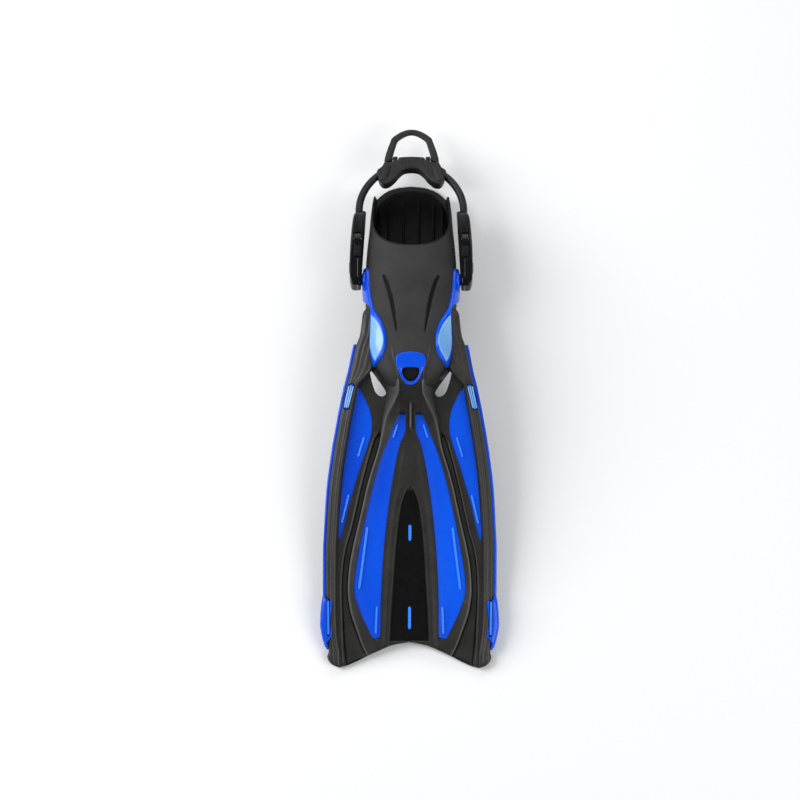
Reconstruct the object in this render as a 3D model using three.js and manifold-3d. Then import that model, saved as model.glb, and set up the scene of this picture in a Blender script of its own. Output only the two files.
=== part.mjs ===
// An open-heel scuba fin with a rubber heel strap, lying on its heel and on the tips of its blade.
// Millimetres, +Z up, +X to the right, +Y from the blade tips to the heel.
// The origin is under the middle of the fin's bounding box, on the surface it lies on.
//
// Three local frames meet at the bend under the toes:
//   blade frame   y along the blade, tips at negative y, z out of the upper face
//   pocket frame  y from the toes to the heel along the sole, z up from the sole plate
//   strap frame   y from the strap posts to the heel pad, z up through the strap
import * as THREE from "three";
import { mergeVertices } from "three/addons/utils/BufferGeometryUtils.js";
import Module from "manifold-3d";

const wasm = await Module();
wasm.setup();

// ---- driving dimensions ----
const BLADE_TILT = THREE.MathUtils.degToRad(11.8); // blade to floor
const SOLE_TILT = THREE.MathUtils.degToRad(15.2); // sole to floor: the two make the 27 degree blade angle
const BEND_HEIGHT = 75; // where both planes meet, over the floor
const GAP = 0.3; // left between neighbouring pieces

const CORE_HALF = 1.2; // half thickness of the blue blade core
const SKIN_IN = CORE_HALF + GAP; // the rubber skins lie on both faces of the core
const SKIN_OUT = SKIN_IN + 1.5;
const BLUE_EDGE = 2.8; // core that shows outside the rails
const RAIL_WIDTH = 14.6;
const RAIL_CHAMFER = 2.2;
const ARM_END = 98; // where the side rails end beside the foot pocket
const CORE_END = 12; // where the core ends under the foot pocket
const BLADE_TIP = -344.5;
const TIP_CENTRE = [85.3, -328];
const TIP_RADIUS = 16.5;
const TIP_INSET = 3.5; // rubber hem around the tips and the trailing edge
const GUARD_SPAN = [-318, -257];

const SOLE_TOP = 3.2; // the sole plate lies between z = 0 and here
const OUTSOLE_BOTTOM = -4;
const FOOTBED_TOP = 6.3;
const WALL = 4; // of the foot pocket
const WAIST = 20; // height at which the pocket is widest
const TOE_END = -12;
const EAR_END = 262;
const HEEL_END = 282;

const POST = { y: 130, z: 38, radius: 5, head: 6.5 }; // strap posts, in the pocket frame
const STRAP_RAISE = THREE.MathUtils.degToRad(5);
const STRAP_RADIUS = 4.8;
const STRAP_X = 64.8; // centre line of the strap inside a buckle
const STRAP_TAIL = 50; // where the strap ends inside a buckle
const ARCH_Y = 94; // where the strap's arch starts
const ARCH_DEPTH = 62;
const PARTING_X = 66.5; // plane between a buckle's frame and its cover
const BUCKLE_HALF = 13; // half height of a buckle at its post
const PAD_HALF = 9.5; // half height of the heel pad
const PAD_OUT = 6.6; // from the strap's arch to the pad's outer face
const LOOP_SWING_GAP = 2; // lets the pull loop swing past the pad
const LOOP_AXIS = 165; // pull loop's hinge, in the strap frame
const KNUCKLE = 4.4;
const PIN_RADIUS = 1.5;

// ---- materials ----
const finish = (color, roughness, metalness = 0) =>
  new THREE.MeshStandardMaterial({ color, roughness, metalness });
const BLUE = finish(0x0a46dc, 0.3);
const PALE_BLUE = finish(0x9fcdf5, 0.3);
const RUBBER = finish(0x3e3d3b, 0.6);
const SOFT = finish(0x5a5a5a, 0.75);
const DARK = finish(0x161513, 0.5);
const GLOSS = finish(0x0c0c0d, 0.2);
const STEEL = finish(0xb9bcc0, 0.3, 1);

// ---- geometry tools ----

// A smooth curve through [at, value] knots that never overshoots them.
function profile(knots) {
  const rows = [...knots].sort((a, b) => a[0] - b[0]);
  const x = rows.map((row) => row[0]);
  const y = rows.map((row) => row[1]);
  const last = x.length - 1;
  const slope = x.slice(1).map((_, i) => (y[i + 1] - y[i]) / (x[i + 1] - x[i]));
  const tangent = x.map((_, i) => {
    if (i === 0) return slope[0];
    if (i === last) return slope[last - 1];
    const product = slope[i - 1] * slope[i];
    return product <= 0 ? 0 : (2 * product) / (slope[i - 1] + slope[i]);
  });
  return (at) => {
    if (at <= x[0]) return y[0];
    if (at >= x[last]) return y[last];
    const i = x.findIndex((value) => value > at) - 1;
    const span = x[i + 1] - x[i];
    const t = (at - x[i]) / span;
    const ease = t * t * (3 - 2 * t);
    const rise = span * t * (1 - t) * ((1 - t) * tangent[i] - t * tangent[i + 1]);
    return y[i] + ease * (y[i + 1] - y[i]) + rise;
  };
}

const steps = (from, to, count) =>
  Array.from({ length: count + 1 }, (_, i) => from + ((to - from) * i) / count);
const arc = ([cx, cy], radius, from, to, count) =>
  steps(from, to, count).map((a) => [cx + radius * Math.cos(a), cy + radius * Math.sin(a)]);
const smooth = (points, count) =>
  new THREE.SplineCurve(points.map((p) => new THREE.Vector2(...p)))
    .getPoints(count)
    .map((p) => [p.x, p.y]);
const mirrored = (points) => points.map(([x, y]) => [-x, y]).reverse();

// The area between two x profiles, from a low y to a high y.
function strip(inner, outer, low, high, count) {
  const at = steps(low, high, count);
  return [...at.map((y) => [inner(y), y]), ...at.reverse().map((y) => [outer(y), y])];
}

// A rib with round ends, seen from above.
function rib([x0, y0], [x1, y1], width) {
  const along = Math.atan2(y1 - y0, x1 - x0);
  const quarter = Math.PI / 2;
  return [
    ...arc([x1, y1], width / 2, along - quarter, along + quarter, 4),
    ...arc([x0, y0], width / 2, along + quarter, along + 3 * quarter, 4),
  ];
}

function manifold(positions, triangles) {
  const mesh = new wasm.Mesh({ numProp: 3, vertProperties: positions, triVerts: triangles });
  return new wasm.Manifold(mesh);
}

// A closed geometry as a solid that can be joined and cut, with its faces turned outwards.
function solid(geometry) {
  const bare = geometry.clone();
  bare.deleteAttribute("normal");
  bare.deleteAttribute("uv");
  const merged = mergeVertices(bare, 1e-4);
  const positions = merged.attributes.position.array;
  const triangles = new Uint32Array(merged.index.array);
  const made = manifold(positions, triangles);
  if (made.volume() > 0) return made;
  for (let i = 0; i < triangles.length; i += 3)
    [triangles[i + 1], triangles[i + 2]] = [triangles[i + 2], triangles[i + 1]];
  return manifold(positions, triangles);
}

// A solid through rings of points that all have the same count.
function loft(rings) {
  const count = rings[0].length;
  const positions = rings.flat(2);
  const index = [];
  for (let r = 0; r < rings.length - 1; r += 1)
    for (let i = 0; i < count; i += 1) {
      const a = r * count + i;
      const b = r * count + ((i + 1) % count);
      index.push(a, b, b + count, a, b + count, a + count);
    }
  for (const [ring, first] of [[0, true], [rings.length - 1, false]]) {
    const hub = positions.length / 3;
    for (const axis of [0, 1, 2])
      positions.push(rings[ring].reduce((sum, p) => sum + p[axis], 0) / count);
    for (let i = 0; i < count; i += 1) {
      const a = ring * count + i;
      const b = ring * count + ((i + 1) % count);
      index.push(...(first ? [hub, b, a] : [hub, a, b]));
    }
  }
  const geometry = new THREE.BufferGeometry();
  geometry.setAttribute("position", new THREE.Float32BufferAttribute(positions, 3));
  return solid(geometry.setIndex(index));
}

const moved = (made, matrix) => made.transform([...matrix.elements]);
const joined = (...pieces) => pieces.reduce((sum, piece) => sum.add(piece));
const cut = (body, ...cutters) => cutters.reduce((left, cutter) => left.subtract(cutter), body);
const FLIP = new THREE.Matrix4().makeScale(-1, 1, 1);
const both = (made) => made.add(moved(made, FLIP));

// An x, y outline made solid between two heights.
function plate(outline, low, high) {
  const shape = new THREE.Shape(outline.map((p) => new THREE.Vector2(...p)));
  const made = new THREE.ExtrudeGeometry(shape, { depth: high - low, bevelEnabled: false });
  return solid(made.translate(0, 0, low));
}

// A y, z outline made solid between two x values.
function sidePlate(outline, low, high) {
  const axes = [[0, 1, 0], [0, 0, 1], [1, 0, 0]].map((axis) => new THREE.Vector3(...axis));
  return moved(plate(outline, low, high), new THREE.Matrix4().makeBasis(...axes));
}

function box([x0, x1], [y0, y1], [z0, z1]) {
  const made = new THREE.BoxGeometry(x1 - x0, y1 - y0, z1 - z0);
  return solid(made.translate((x0 + x1) / 2, (y0 + y1) / 2, (z0 + z1) / 2));
}

// A round bar along X.
function bar(radius, [x0, x1], y, z, sides = 24) {
  const made = new THREE.CylinderGeometry(radius, radius, x1 - x0, sides);
  return solid(made.rotateZ(Math.PI / 2).translate((x0 + x1) / 2, y, z));
}

// ---- the three frames ----
const fin = new THREE.Group();
const bladeFrame = new THREE.Group();
const pocketFrame = new THREE.Group();
const strapFrame = new THREE.Group();
bladeFrame.rotation.x = BLADE_TILT;
bladeFrame.position.z = BEND_HEIGHT;
pocketFrame.rotation.x = -SOLE_TILT;
pocketFrame.position.z = BEND_HEIGHT;
strapFrame.rotation.x = STRAP_RAISE;
strapFrame.position.set(0, POST.y, POST.z);
pocketFrame.add(strapFrame);
fin.add(bladeFrame, pocketFrame);
fin.updateMatrixWorld(true);
const bladeInPocket = pocketFrame.matrixWorld.clone().invert().multiply(bladeFrame.matrixWorld);
const pocketInBlade = bladeInPocket.clone().invert();

function place(frame, name, made, material) {
  const mesh = made.getMesh();
  const positions = new Float32Array(mesh.numVert * 3);
  for (let i = 0; i < mesh.numVert; i += 1)
    for (let axis = 0; axis < 3; axis += 1)
      positions[i * 3 + axis] = mesh.vertProperties[i * mesh.numProp + axis];
  const geometry = new THREE.BufferGeometry();
  geometry.setAttribute("position", new THREE.BufferAttribute(positions, 3));
  geometry.setIndex(new THREE.BufferAttribute(new Uint32Array(mesh.triVerts), 1));
  const node = new THREE.Mesh(geometry, material);
  node.name = name;
  frame.add(node);
}

// A piece of the right side, and its mirror image on the left.
function placePair(frame, name, made, material) {
  place(frame, `right_${name}`, made, material);
  place(frame, `left_${name}`, moved(made, FLIP), material);
}

// Everything below the floor, in a frame's own coordinates.
const belowFloor = (frame) =>
  moved(box([-300, 300], [-600, 600], [-200, 0]), frame.matrixWorld.clone().invert());

// ---- blade outlines, right half, in the blade frame ----
const edge = profile([
  [-328, 101.8], [-318, 103.4], [-300, 105.9], [-260, 107.2], [-200, 107.3], [-171, 106],
  [-127, 103.5], [-82, 98], [-37, 90.5], [0, 83], [22, 77.5], [52, 71.3], [67, 66.4], [98, 63],
]);
const trailing = profile([
  [0, -313], [20, -316.6], [38, -324], [56, -332.3], [74, -341.2], [85.3, BLADE_TIP],
]);
const railOuter = (y) => edge(y) - BLUE_EDGE;
const armSpread = profile([[4, 0], [26, 13], [98, 16]]); // the rails widen to hug the foot pocket
const railInner = (y) => railOuter(y) - RAIL_WIDTH - armSpread(y);
const railStations = steps(ARM_END, BLADE_TIP - 2, 22);
const channelOuter = profile([
  [-322, 81], [-273, 82.2], [-248, 82.8], [-223, 82.2], [-198, 78.6], [-174, 71.7],
  [-149, 66], [-124, 60.5], [-99, 54.3], [-74, 47.4], [-62, 43.6], [-54, 37.5],
]);
const channelInner = profile([
  [-322, 56.8], [-298, 66], [-273, 74], [-248, 76.9], [-223, 75.4], [-198, 71.3],
  [-174, 65.8], [-149, 60], [-124, 54.6], [-99, 47.7], [-74, 40], [-54, 34],
]);
const CHANNEL_SPAN = [-314, -60];
const windowOuter = profile([
  [-311, 40], [-309, 44.4], [-296, 51.8], [-281, 59.3], [-268, 64.2], [-257, 68],
  [-245, 69.2], [-229, 68], [-192, 61.8], [-155, 54.3], [-118, 45.6], [-84, 35.7],
  [-55, 24.5], [-43, 19.6], [-35, 13.3], [-30, 8],
]);
const windowInner = profile([
  [-311, 37.6], [-305, 36.3], [-260, 35.3], [-211, 32.9], [-155, 27.7], [-118, 22.7],
  [-81, 15.9], [-65, 11.5], [-56, 7.2], [-50, 5.8], [-35, 5.8], [-30, 6.6],
]);
const WINDOW_SPAN = [-311, -30];
const sideWindowInner = profile([
  [-187, 85.2], [-174, 82.2], [-140, 74.2], [-120, 68], [-99, 61.8], [-81, 55.6],
  [-62, 49.4], [-52, 47.2], [-43, 46.9], [-28, 49.4], [-19, 53], [-6, 59.3], [2, 64.2],
]);
const sideWindowOuter = profile([
  [-187, 87.8], [-181, 88.2], [-149, 86.4], [-99, 82], [-74, 78.6], [-50, 74.8],
  [-27, 70.6], [-10, 67.2], [2, 65.6],
]);
const SIDE_WINDOW_SPAN = [-187, 2];
const hollowHalf = profile([
  [-309, 23.6], [-273, 22], [-236, 19.5], [-198, 17], [-174, 14.5], [-146, 10.6],
  [-130, 5.6], [-121, 0.6],
]);
const HOLLOW_SPAN = [-305, -121];
const VENT = [[50, 22], [40.5, 11.5], [31.2, -1], [31.4, -5.8], [36.5, -7.6], [43, -3], [47.6, 9]];

// The whole blade, drawn in from its edge.
function bladeOutline(inset) {
  const side = steps(ARM_END, TIP_CENTRE[1], 18).map((y) => [edge(y) - inset, y]);
  const tip = arc(TIP_CENTRE, TIP_RADIUS - inset, 0, -Math.PI / 2, 6).slice(1);
  const end = steps(74, 4, 8).map((x) => [x, trailing(x) + inset]);
  const half = [...side, ...tip, ...end];
  return [...half, [0, trailing(0) + inset], ...mirrored(half)];
}

// ---- the foot pocket's outer shape, in the pocket frame ----
const pocketHalf = profile([
  [TOE_END, 15], [-6, 22], [0, 28], [9, 35.5], [18, 41.5], [27, 45.5], [40, 49], [90, 55],
  [125, 57], [150, 56.5], [180, 54.6], [207, 52], [224, 50.8], [240, 49], [256, 47], [270, 45],
]);
const pocketTop = profile([
  [TOE_END, 24], [-6, 29.5], [4, 35.5], [20, 43], [50, 53], [90, 63], [130, 70.5], [163, 76],
  [270, 82],
]);

function pocketShape(grow, floor, from, to) {
  const ys = [from, ...steps(0, 255, 14).filter((y) => y > from + 3 && y < to - 3), to];
  const ring = (y) =>
    steps(0, 2 * Math.PI, 24).slice(1).map((a) => {
      const squareness = Math.sin(a) > 0 ? 2.5 : 5;
      const power = 2 / squareness;
      const x = Math.sign(Math.cos(a)) * Math.abs(Math.cos(a)) ** power;
      const z = Math.sign(Math.sin(a)) * Math.abs(Math.sin(a)) ** power;
      const reach = z > 0 ? pocketTop(y) + grow - WAIST : WAIST - floor;
      return [x * (pocketHalf(y) + grow), y, WAIST + z * reach];
    });
  return loft(ys.map(ring));
}

// Everything that the foot pocket, its side frames and its sole take up.
function pocketRoom(grow) {
  const body = pocketShape(grow, OUTSOLE_BOTTOM - 4, TOE_END - grow, EAR_END);
  const under = box([-200, 200], [-100, 400], [-50, OUTSOLE_BOTTOM - GAP]);
  const sole = plate(soleOutline(-grow), OUTSOLE_BOTTOM - 2 * GAP, SOLE_TOP + 1);
  return moved(cut(body, under).add(sole), pocketInBlade);
}

// ---- blade ----
function bladeCore() {
  const hemmed = plate(bladeOutline(TIP_INSET), -CORE_HALF, CORE_HALF);
  const wide = plate(bladeOutline(0), -CORE_HALF, CORE_HALF);
  const blade = hemmed.add(wide.intersect(box([-200, 200], [GUARD_SPAN[0], 200], [-9, 9])));
  const beyond = box([-200, 200], [CORE_END, 200], [-9, 9]);
  const slots = both(plate(strip(channelInner, channelOuter, ...CHANNEL_SPAN, 17), -9, 9));
  const stripes = [
    rib([16, -47], [20.4, -58.5], 2.2),
    rib([52.5, -171], [62.7, -246], 2.4),
    rib([40.3, -269], [41.8, -302], 2.4),
    rib([57, -61], [64.5, -84], 2.2),
    rib([75.8, -133], [84, -166], 2.2),
  ].map((outline) => both(plate(outline, CORE_HALF - 0.2, SKIN_OUT - 0.4)));
  return cut(joined(blade, ...stripes), beyond, slots, ventHoles(2.4), pocketRoom(0.6));
}

// The drain vents on both sides of the neck, widened by an amount.
function ventHoles(grow) {
  const centre = [39.5, 2];
  const reach = (p) => Math.hypot(p[0] - centre[0], p[1] - centre[1]);
  const wider = VENT.map((p) =>
    p.map((value, axis) => centre[axis] + (value - centre[axis]) * (1 + grow / reach(p))),
  );
  return both(plate(smooth([...wider, wider[0]], 18), -20, 20));
}

function bladeSkin(low, high) {
  const whole = plate(bladeOutline(0), low, high);
  const railLine = railStations.map((y) => [railInner(y) - GAP, y]);
  const railRoom = [...railLine, [300, BLADE_TIP - 2], [300, ARM_END]];
  const openings = [
    strip(windowInner, windowOuter, ...WINDOW_SPAN, 20),
    strip(sideWindowInner, sideWindowOuter, ...SIDE_WINDOW_SPAN, 15),
    strip(channelInner, channelOuter, ...CHANNEL_SPAN, 17),
    railRoom,
  ].map((outline) => both(plate(outline, -20, 20)));
  const beyond = box([-200, 200], [CORE_END + 4, 200], [-20, 20]);
  return cut(whole, ...openings, beyond, ventHoles(0), pocketRoom(0.6));
}

// Raised lips along both sides of a flexible channel.
function channelLips(low, high) {
  const span = [-300, -66];
  const inner = strip((y) => channelInner(y) - 2.4, (y) => channelInner(y) - 0.6, ...span, 13);
  const outer = strip((y) => channelOuter(y) + 0.6, (y) => channelOuter(y) + 2, ...span, 13);
  return both(plate(inner, low, high)).add(both(plate(outer, low, high)));
}

const hollow = (inset, low, high) => {
  const half = (y) => Math.max(hollowHalf(y) - inset, 0.4);
  const span = [HOLLOW_SPAN[0] + inset, HOLLOW_SPAN[1] - inset];
  return plate(strip((y) => -half(y), half, ...span, 11), low, high);
};

// The ridge from the toe of the foot pocket down to the blade.
function neck() {
  const half = profile([[-34, 6], [-28, 12], [-14, 15.5], [5, 15], [30, 18]]);
  const height = profile([[-34, 0.6], [-28, 2.4], [-14, 9], [5, 20], [30, 27]]);
  const ring = (y) =>
    arc([0, 0], 1, 0, Math.PI, 10).map(([x, z]) => [
      x * half(y), y, SKIN_OUT + GAP + 0.1 + Math.max(z, 0) ** 0.8 * height(y),
    ]);
  return cut(loft(steps(-34, 28, 10).map(ring)), pocketRoom(0.8));
}

const spine = () => plate(rib([0, -19], [0, -49], 3.7), SKIN_OUT + 0.5, SKIN_OUT + 7);

function rail(heights, low) {
  const up = Math.sign(low);
  const ring = (y) => {
    const [xi, xo] = [railInner(y), railOuter(y)];
    const top = low + up * heights(y);
    const shoulder = top - up * RAIL_CHAMFER;
    return [
      [xi, y, low], [xo, y, low], [xo, y, shoulder], [xo - RAIL_CHAMFER, y, top],
      [xi + RAIL_CHAMFER, y, top], [xi, y, shoulder],
    ];
  };
  const whole = loft(railStations.map(ring));
  return cut(whole.intersect(plate(bladeOutline(0), -60, 60)), pocketRoom(5));
}
const upperRail = () =>
  cut(
    rail(profile([[-345, 4], [-318, 5], [-257, 5], [-200, 7], [-60, 10], [20, 11], [98, 6]]), SKIN_IN),
    plate([[68.4, 4], [74, 4], [80, -17], [79, -25], [75.8, -25], [74.4, -16]], SKIN_IN - 1, 40),
  );
const lowerRail = () =>
  cut(
    rail(profile([[-345, 5], [-257, 7], [-140, 15], [-20, 26], [50, 17], [98, 8]]), -SKIN_IN),
    belowFloor(bladeFrame),
  );

function tipGuard() {
  const outer = profile([[-318, 104.9], [-305, 108.2], [-290, 110.4], [-275, 109.7], [-257, 107.9]]);
  const top = SKIN_IN + 5 + GAP;
  const wall = strip((y) => edge(y) + GAP, outer, ...GUARD_SPAN, 12);
  const lip = strip(() => 97.4, outer, ...GUARD_SPAN, 12);
  const slot = rib([100.3, -262], [99.5, -306], 3.4);
  return cut(plate(wall, -5.5, top + 1.4).add(plate(lip, top, top + 1.4)), plate(slot, 0, 20));
}

function buildBlade() {
  const upper = bladeSkin(SKIN_IN, SKIN_OUT).add(channelLips(SKIN_OUT - 0.5, SKIN_OUT + 2));
  const lower = bladeSkin(-SKIN_OUT, -SKIN_IN).add(channelLips(-SKIN_OUT - 3, -SKIN_OUT + 0.5));
  const channel = strip(
    (y) => channelInner(y) + GAP, (y) => channelOuter(y) - GAP,
    CHANNEL_SPAN[0] + GAP, CHANNEL_SPAN[1] - GAP, 17,
  );
  const floor = belowFloor(bladeFrame);
  place(bladeFrame, "blade_core", cut(bladeCore(), floor), BLUE);
  place(bladeFrame, "blade_skin_upper", cut(upper, hollow(0, -9, 9), floor), RUBBER);
  place(bladeFrame, "blade_skin_lower", cut(lower, floor), RUBBER);
  place(bladeFrame, "centre_panel", hollow(GAP, SKIN_IN, SKIN_IN + 0.8), DARK);
  place(bladeFrame, "neck_fairing", neck().add(spine()), RUBBER);
  placePair(bladeFrame, "flex_channel", plate(channel, -1.4, 1.4), DARK);
  placePair(bladeFrame, "upper_rail", upperRail(), RUBBER);
  placePair(bladeFrame, "lower_rail", lowerRail(), RUBBER);
  placePair(bladeFrame, "tip_guard", tipGuard(), BLUE);
}

// ---- foot pocket ----

// The shield-shaped vent frame over the toes, in the blade frame.
const BEZEL = [[0, 6], [5.6, 7.2], [10.4, 13], [14.3, 21], [18.4, 32], [18.6, 39], [16.6, 45], [13, 46.5]];
const BEZEL_HOLE = [[0, 10.5], [4, 13.5], [7.8, 19], [10.6, 25.8], [9.6, 27.3]];
function shield(half, grow) {
  const grown = half.map(([x, y]) => [x === 0 ? 0 : x + grow, y + (y > 26 ? grow : -grow)]);
  return [...grown, ...mirrored(grown).filter(([x]) => x < 0)];
}

function footPocket() {
  const outer = pocketShape(0, -6, TOE_END, EAR_END);
  const inner = pocketShape(-WALL, -12, TOE_END + WALL, EAR_END + 10);
  const mouth = [
    [163, 120], [163, 76.2], [172, 70], [185, 60], [200, 50], [225, 37.5], [248, 28.5],
    [257, 21], [261, 10], [263, -20], [320, -20], [320, 120],
  ];
  const base = box([-200, 200], [-100, 400], [-50, SOLE_TOP + GAP]);
  const grooves = both(
    plate([[38.4, 149], [31.4, 131], [24.8, 106], [17.4, 69], [21.6, 106], [28, 130]], -100, 100),
  );
  const deep = cut(pocketShape(9, -12, TOE_END - 9, 270), pocketShape(-1.3, -12, TOE_END, 270));
  const vent = moved(plate(shield(BEZEL, GAP), 10, 60), bladeInPocket);
  const groove = moved(grooves, bladeInPocket).intersect(deep);
  return cut(outer, inner, sidePlate(mouth, -90, 90), base, vent, groove);
}

const soleHalf = profile([
  [TOE_END, 14], [-6, 21], [0, 27], [9, 34.5], [18, 40.5], [27, 44.5], [40, 48], [90, 54],
  [125, 56], [150, 55.4], [180, 53.5], [207, 51], [224, 49.6], [240, 47.8], [256, 45.6],
]);
function soleOutline(inset) {
  const side = steps(TOE_END + inset, 256, 20).map((y) => [soleHalf(y) - inset, y]);
  const heel = smooth([[45.6, 256], [43, 263], [33, 273], [19, 279.6], [0, HEEL_END]], 10)
    .slice(1, -1)
    .map(([x, y]) => [x * (1 - inset / 46), y - inset]);
  return [...side, ...heel, [0, HEEL_END - inset], ...mirrored([...side, ...heel])];
}

function footbed() {
  const base = plate(soleOutline(WALL + 0.8), SOLE_TOP + GAP, FOOTBED_TOP);
  const ribs = [-28, -9.5, 9.5, 28, 39].map((x) =>
    plate(rib([x, 30], [x, Math.abs(x) > 30 ? 246 : 262], 2.6), FOOTBED_TOP - 0.5, FOOTBED_TOP + 1.2),
  );
  return joined(base, ...ribs);
}

// A panel wrapped around the pocket's side, between two distances from its surface.
function wrapped(from, to, plan, low) {
  const shell = cut(
    pocketShape(to, -8, TOE_END - to, EAR_END),
    pocketShape(from, -14, TOE_END - from - 5, EAR_END + 5),
  );
  const above = moved(plate(plan, -120, 120), bladeInPocket);
  return shell.intersect(above).intersect(sidePlate(low, 20, 90));
}
const FRAME_PLAN = [
  [44, 27], [37.8, 37], [32.9, 50], [31.6, 61], [32.9, 71], [36.6, 82], [43, 92],
  [47, 98], [49, 112], [50, 152], [90, 152], [90, 27],
];
const FRAME_SIDE = [
  [20, 14.5], [60, 35], [88, 49.5], [95, 44], [101, 30], [114, 23], [140, 23], [150, 36],
  [146, 50], [124, 64], [95, 90], [20, 90],
];
const INLAY_PLAN = [
  [44, 35], [38, 44], [35.6, 53], [35.2, 61], [36.4, 70], [40, 80], [46, 90], [50, 96],
  [55, 96], [53, 80], [50, 62], [47.3, 47],
];
const INLAY_SIDE = [[20, 25], [96, 56], [96, 90], [20, 90]];
function sideFrame() {
  const panel = wrapped(GAP, 3.4, FRAME_PLAN, FRAME_SIDE);
  const boss = bar(8, [56.5, 60.8], POST.y, POST.z);
  const post = bar(POST.radius, [56.5, 70.6], POST.y, POST.z);
  const head = bar(POST.head, [70.5, 73], POST.y, POST.z);
  const inside = pocketShape(GAP, -14, TOE_END - 5, EAR_END + 5);
  return cut(joined(panel, boss, post, head), inside);
}

function buildPocket() {
  const outsole = cut(plate(soleOutline(0), OUTSOLE_BOTTOM, -GAP), belowFloor(pocketFrame));
  place(pocketFrame, "foot_pocket", footPocket(), SOFT);
  place(pocketFrame, "sole_plate", plate(soleOutline(0), 0, SOLE_TOP), DARK);
  place(pocketFrame, "outsole", outsole, RUBBER);
  place(pocketFrame, "footbed", footbed(), SOFT);
  placePair(pocketFrame, "side_frame", sideFrame(), BLUE);
  placePair(pocketFrame, "side_inlay", wrapped(3.7, 4.6, INLAY_PLAN, INLAY_SIDE), PALE_BLUE);
  const bezel = cut(plate(shield(BEZEL, 0), 26.4, 31.6), plate(shield(BEZEL_HOLE, 0), 0, 60));
  place(bladeFrame, "toe_vent_bezel", bezel, BLUE);
}

// ---- buckles, right side, in the strap frame ----
const BUCKLE_PLAN = [
  [62.2, -9.5], [73, -9.5], [75.6, 0], [76, 20], [75.6, 40], [74.2, 62], [72.4, 80],
  [70.8, 87], [67.5, 91], [56.4, 91],
];
const BUCKLE_SIDE = [
  ...arc([-1, 0], BUCKLE_HALF, Math.PI * 0.5, Math.PI * 1.5, 12),
  [40, -12.6], [86, -11], [91, -8.4], [91, 8.4], [86, 11], [40, 12.6],
];
const LEVER = { pivot: [52, 9.4], front: 27, nose: 59.5, x: [62.4, 70.8], drop: 8.6 };
const BUTTON = { y: [10.5, 23.5], z: [-5.5, 5.5], x: [69.6, 76.9] };
const spread = ([a, b], by) => [a - by, b + by];

function buckleHalf(side) {
  const whole = plate(BUCKLE_PLAN, -20, 20).intersect(sidePlate(BUCKLE_SIDE, 40, 90));
  const keep = side === "frame" ? [40, PARTING_X - GAP / 2] : [PARTING_X + GAP / 2, 90];
  const tunnel = new THREE.CylinderGeometry(STRAP_RADIUS + 0.5, STRAP_RADIUS + 0.5, 60, 16);
  const leverRoom = box(spread(LEVER.x, 0.3), [LEVER.front - 0.5, LEVER.nose + 0.6], [5.9, 20]);
  const noseRoom = box(spread(LEVER.x, 0.3), [LEVER.pivot[0] + 0.5, LEVER.nose + 0.6], [0, 8]);
  return cut(
    whole.intersect(box(keep, [-50, 120], [-30, 30])),
    solid(tunnel.translate(STRAP_X, 78, 0)),
    bar(POST.radius + 0.25, [50, 71], 0, 0),
    bar(POST.head + 0.3, [PARTING_X, 73.4], 0, 0),
    leverRoom,
    noseRoom,
    bar(PIN_RADIUS + 0.3, [60.6, 72.6], ...LEVER.pivot, 12),
    box([PARTING_X, 90], spread(BUTTON.y, 0.3), spread(BUTTON.z, 0.3)),
    bar(3.2, [62.9, PARTING_X], 17, 0, 16),
    solid(new THREE.CylinderGeometry(2.6, 2.6, 6, 14).rotateX(Math.PI / 2).translate(66.6, 31, 5)),
  );
}

// A rocker: its long end is pressed into the buckle and its nose lifts off the strap's teeth.
function lever() {
  const [py, pz] = LEVER.pivot;
  const outline = [
    [LEVER.front, LEVER.drop], [py - 6, 7.4], [py + 1.6, 6.6], [py + 5, 5.5], [LEVER.nose, 5.5],
    [LEVER.nose, 9.6], [py + 4, 12.2], [py - 4, 13], [LEVER.front, 13.2],
  ];
  return cut(sidePlate(outline, ...LEVER.x), bar(PIN_RADIUS + 0.12, [50, 90], py, pz, 12));
}

function spring(radius, wire, turns) {
  const pitch = wire * 1.1;
  class Helix extends THREE.Curve {
    getPoint(t, target = new THREE.Vector3()) {
      const a = t * turns * 2 * Math.PI;
      return target.set(radius * Math.cos(a), radius * Math.sin(a), pitch * turns * t);
    }
  }
  const ring = arc([0, 0], wire / 2, 0, 2 * Math.PI, 5).slice(1);
  const section = new THREE.Shape(ring.map((p) => new THREE.Vector2(...p)));
  const extrudePath = new Helix();
  return solid(new THREE.ExtrudeGeometry(section, { steps: turns * 8, extrudePath }));
}

function buildBuckles() {
  const buttonBody = box(BUTTON.x, BUTTON.y, BUTTON.z);
  const buttonSpring = spring(2.3, 0.8, 3).rotate([0, 90, 0]).translate([63.5, 17, 0]);
  const leverSpring = spring(1.7, 0.7, 3).translate([66.6, 31, 2.5]);
  placePair(strapFrame, "buckle_frame", buckleHalf("frame"), GLOSS);
  placePair(strapFrame, "buckle_cover", buckleHalf("cover"), GLOSS);
  placePair(strapFrame, "strap_lever", lever(), GLOSS);
  placePair(strapFrame, "lever_pin", bar(PIN_RADIUS, [60.9, 72.3], ...LEVER.pivot, 12), STEEL);
  placePair(strapFrame, "lever_spring", leverSpring, STEEL);
  placePair(strapFrame, "release_button", buttonBody, GLOSS);
  placePair(strapFrame, "button_spring", buttonSpring, STEEL);
}

// ---- heel strap, heel pad and pull loop, in the strap frame ----
const archPoint = (a, out) => [
  (STRAP_X + out) * Math.cos(a), ARCH_Y + (ARCH_DEPTH + out) * Math.sin(a),
];

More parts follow.
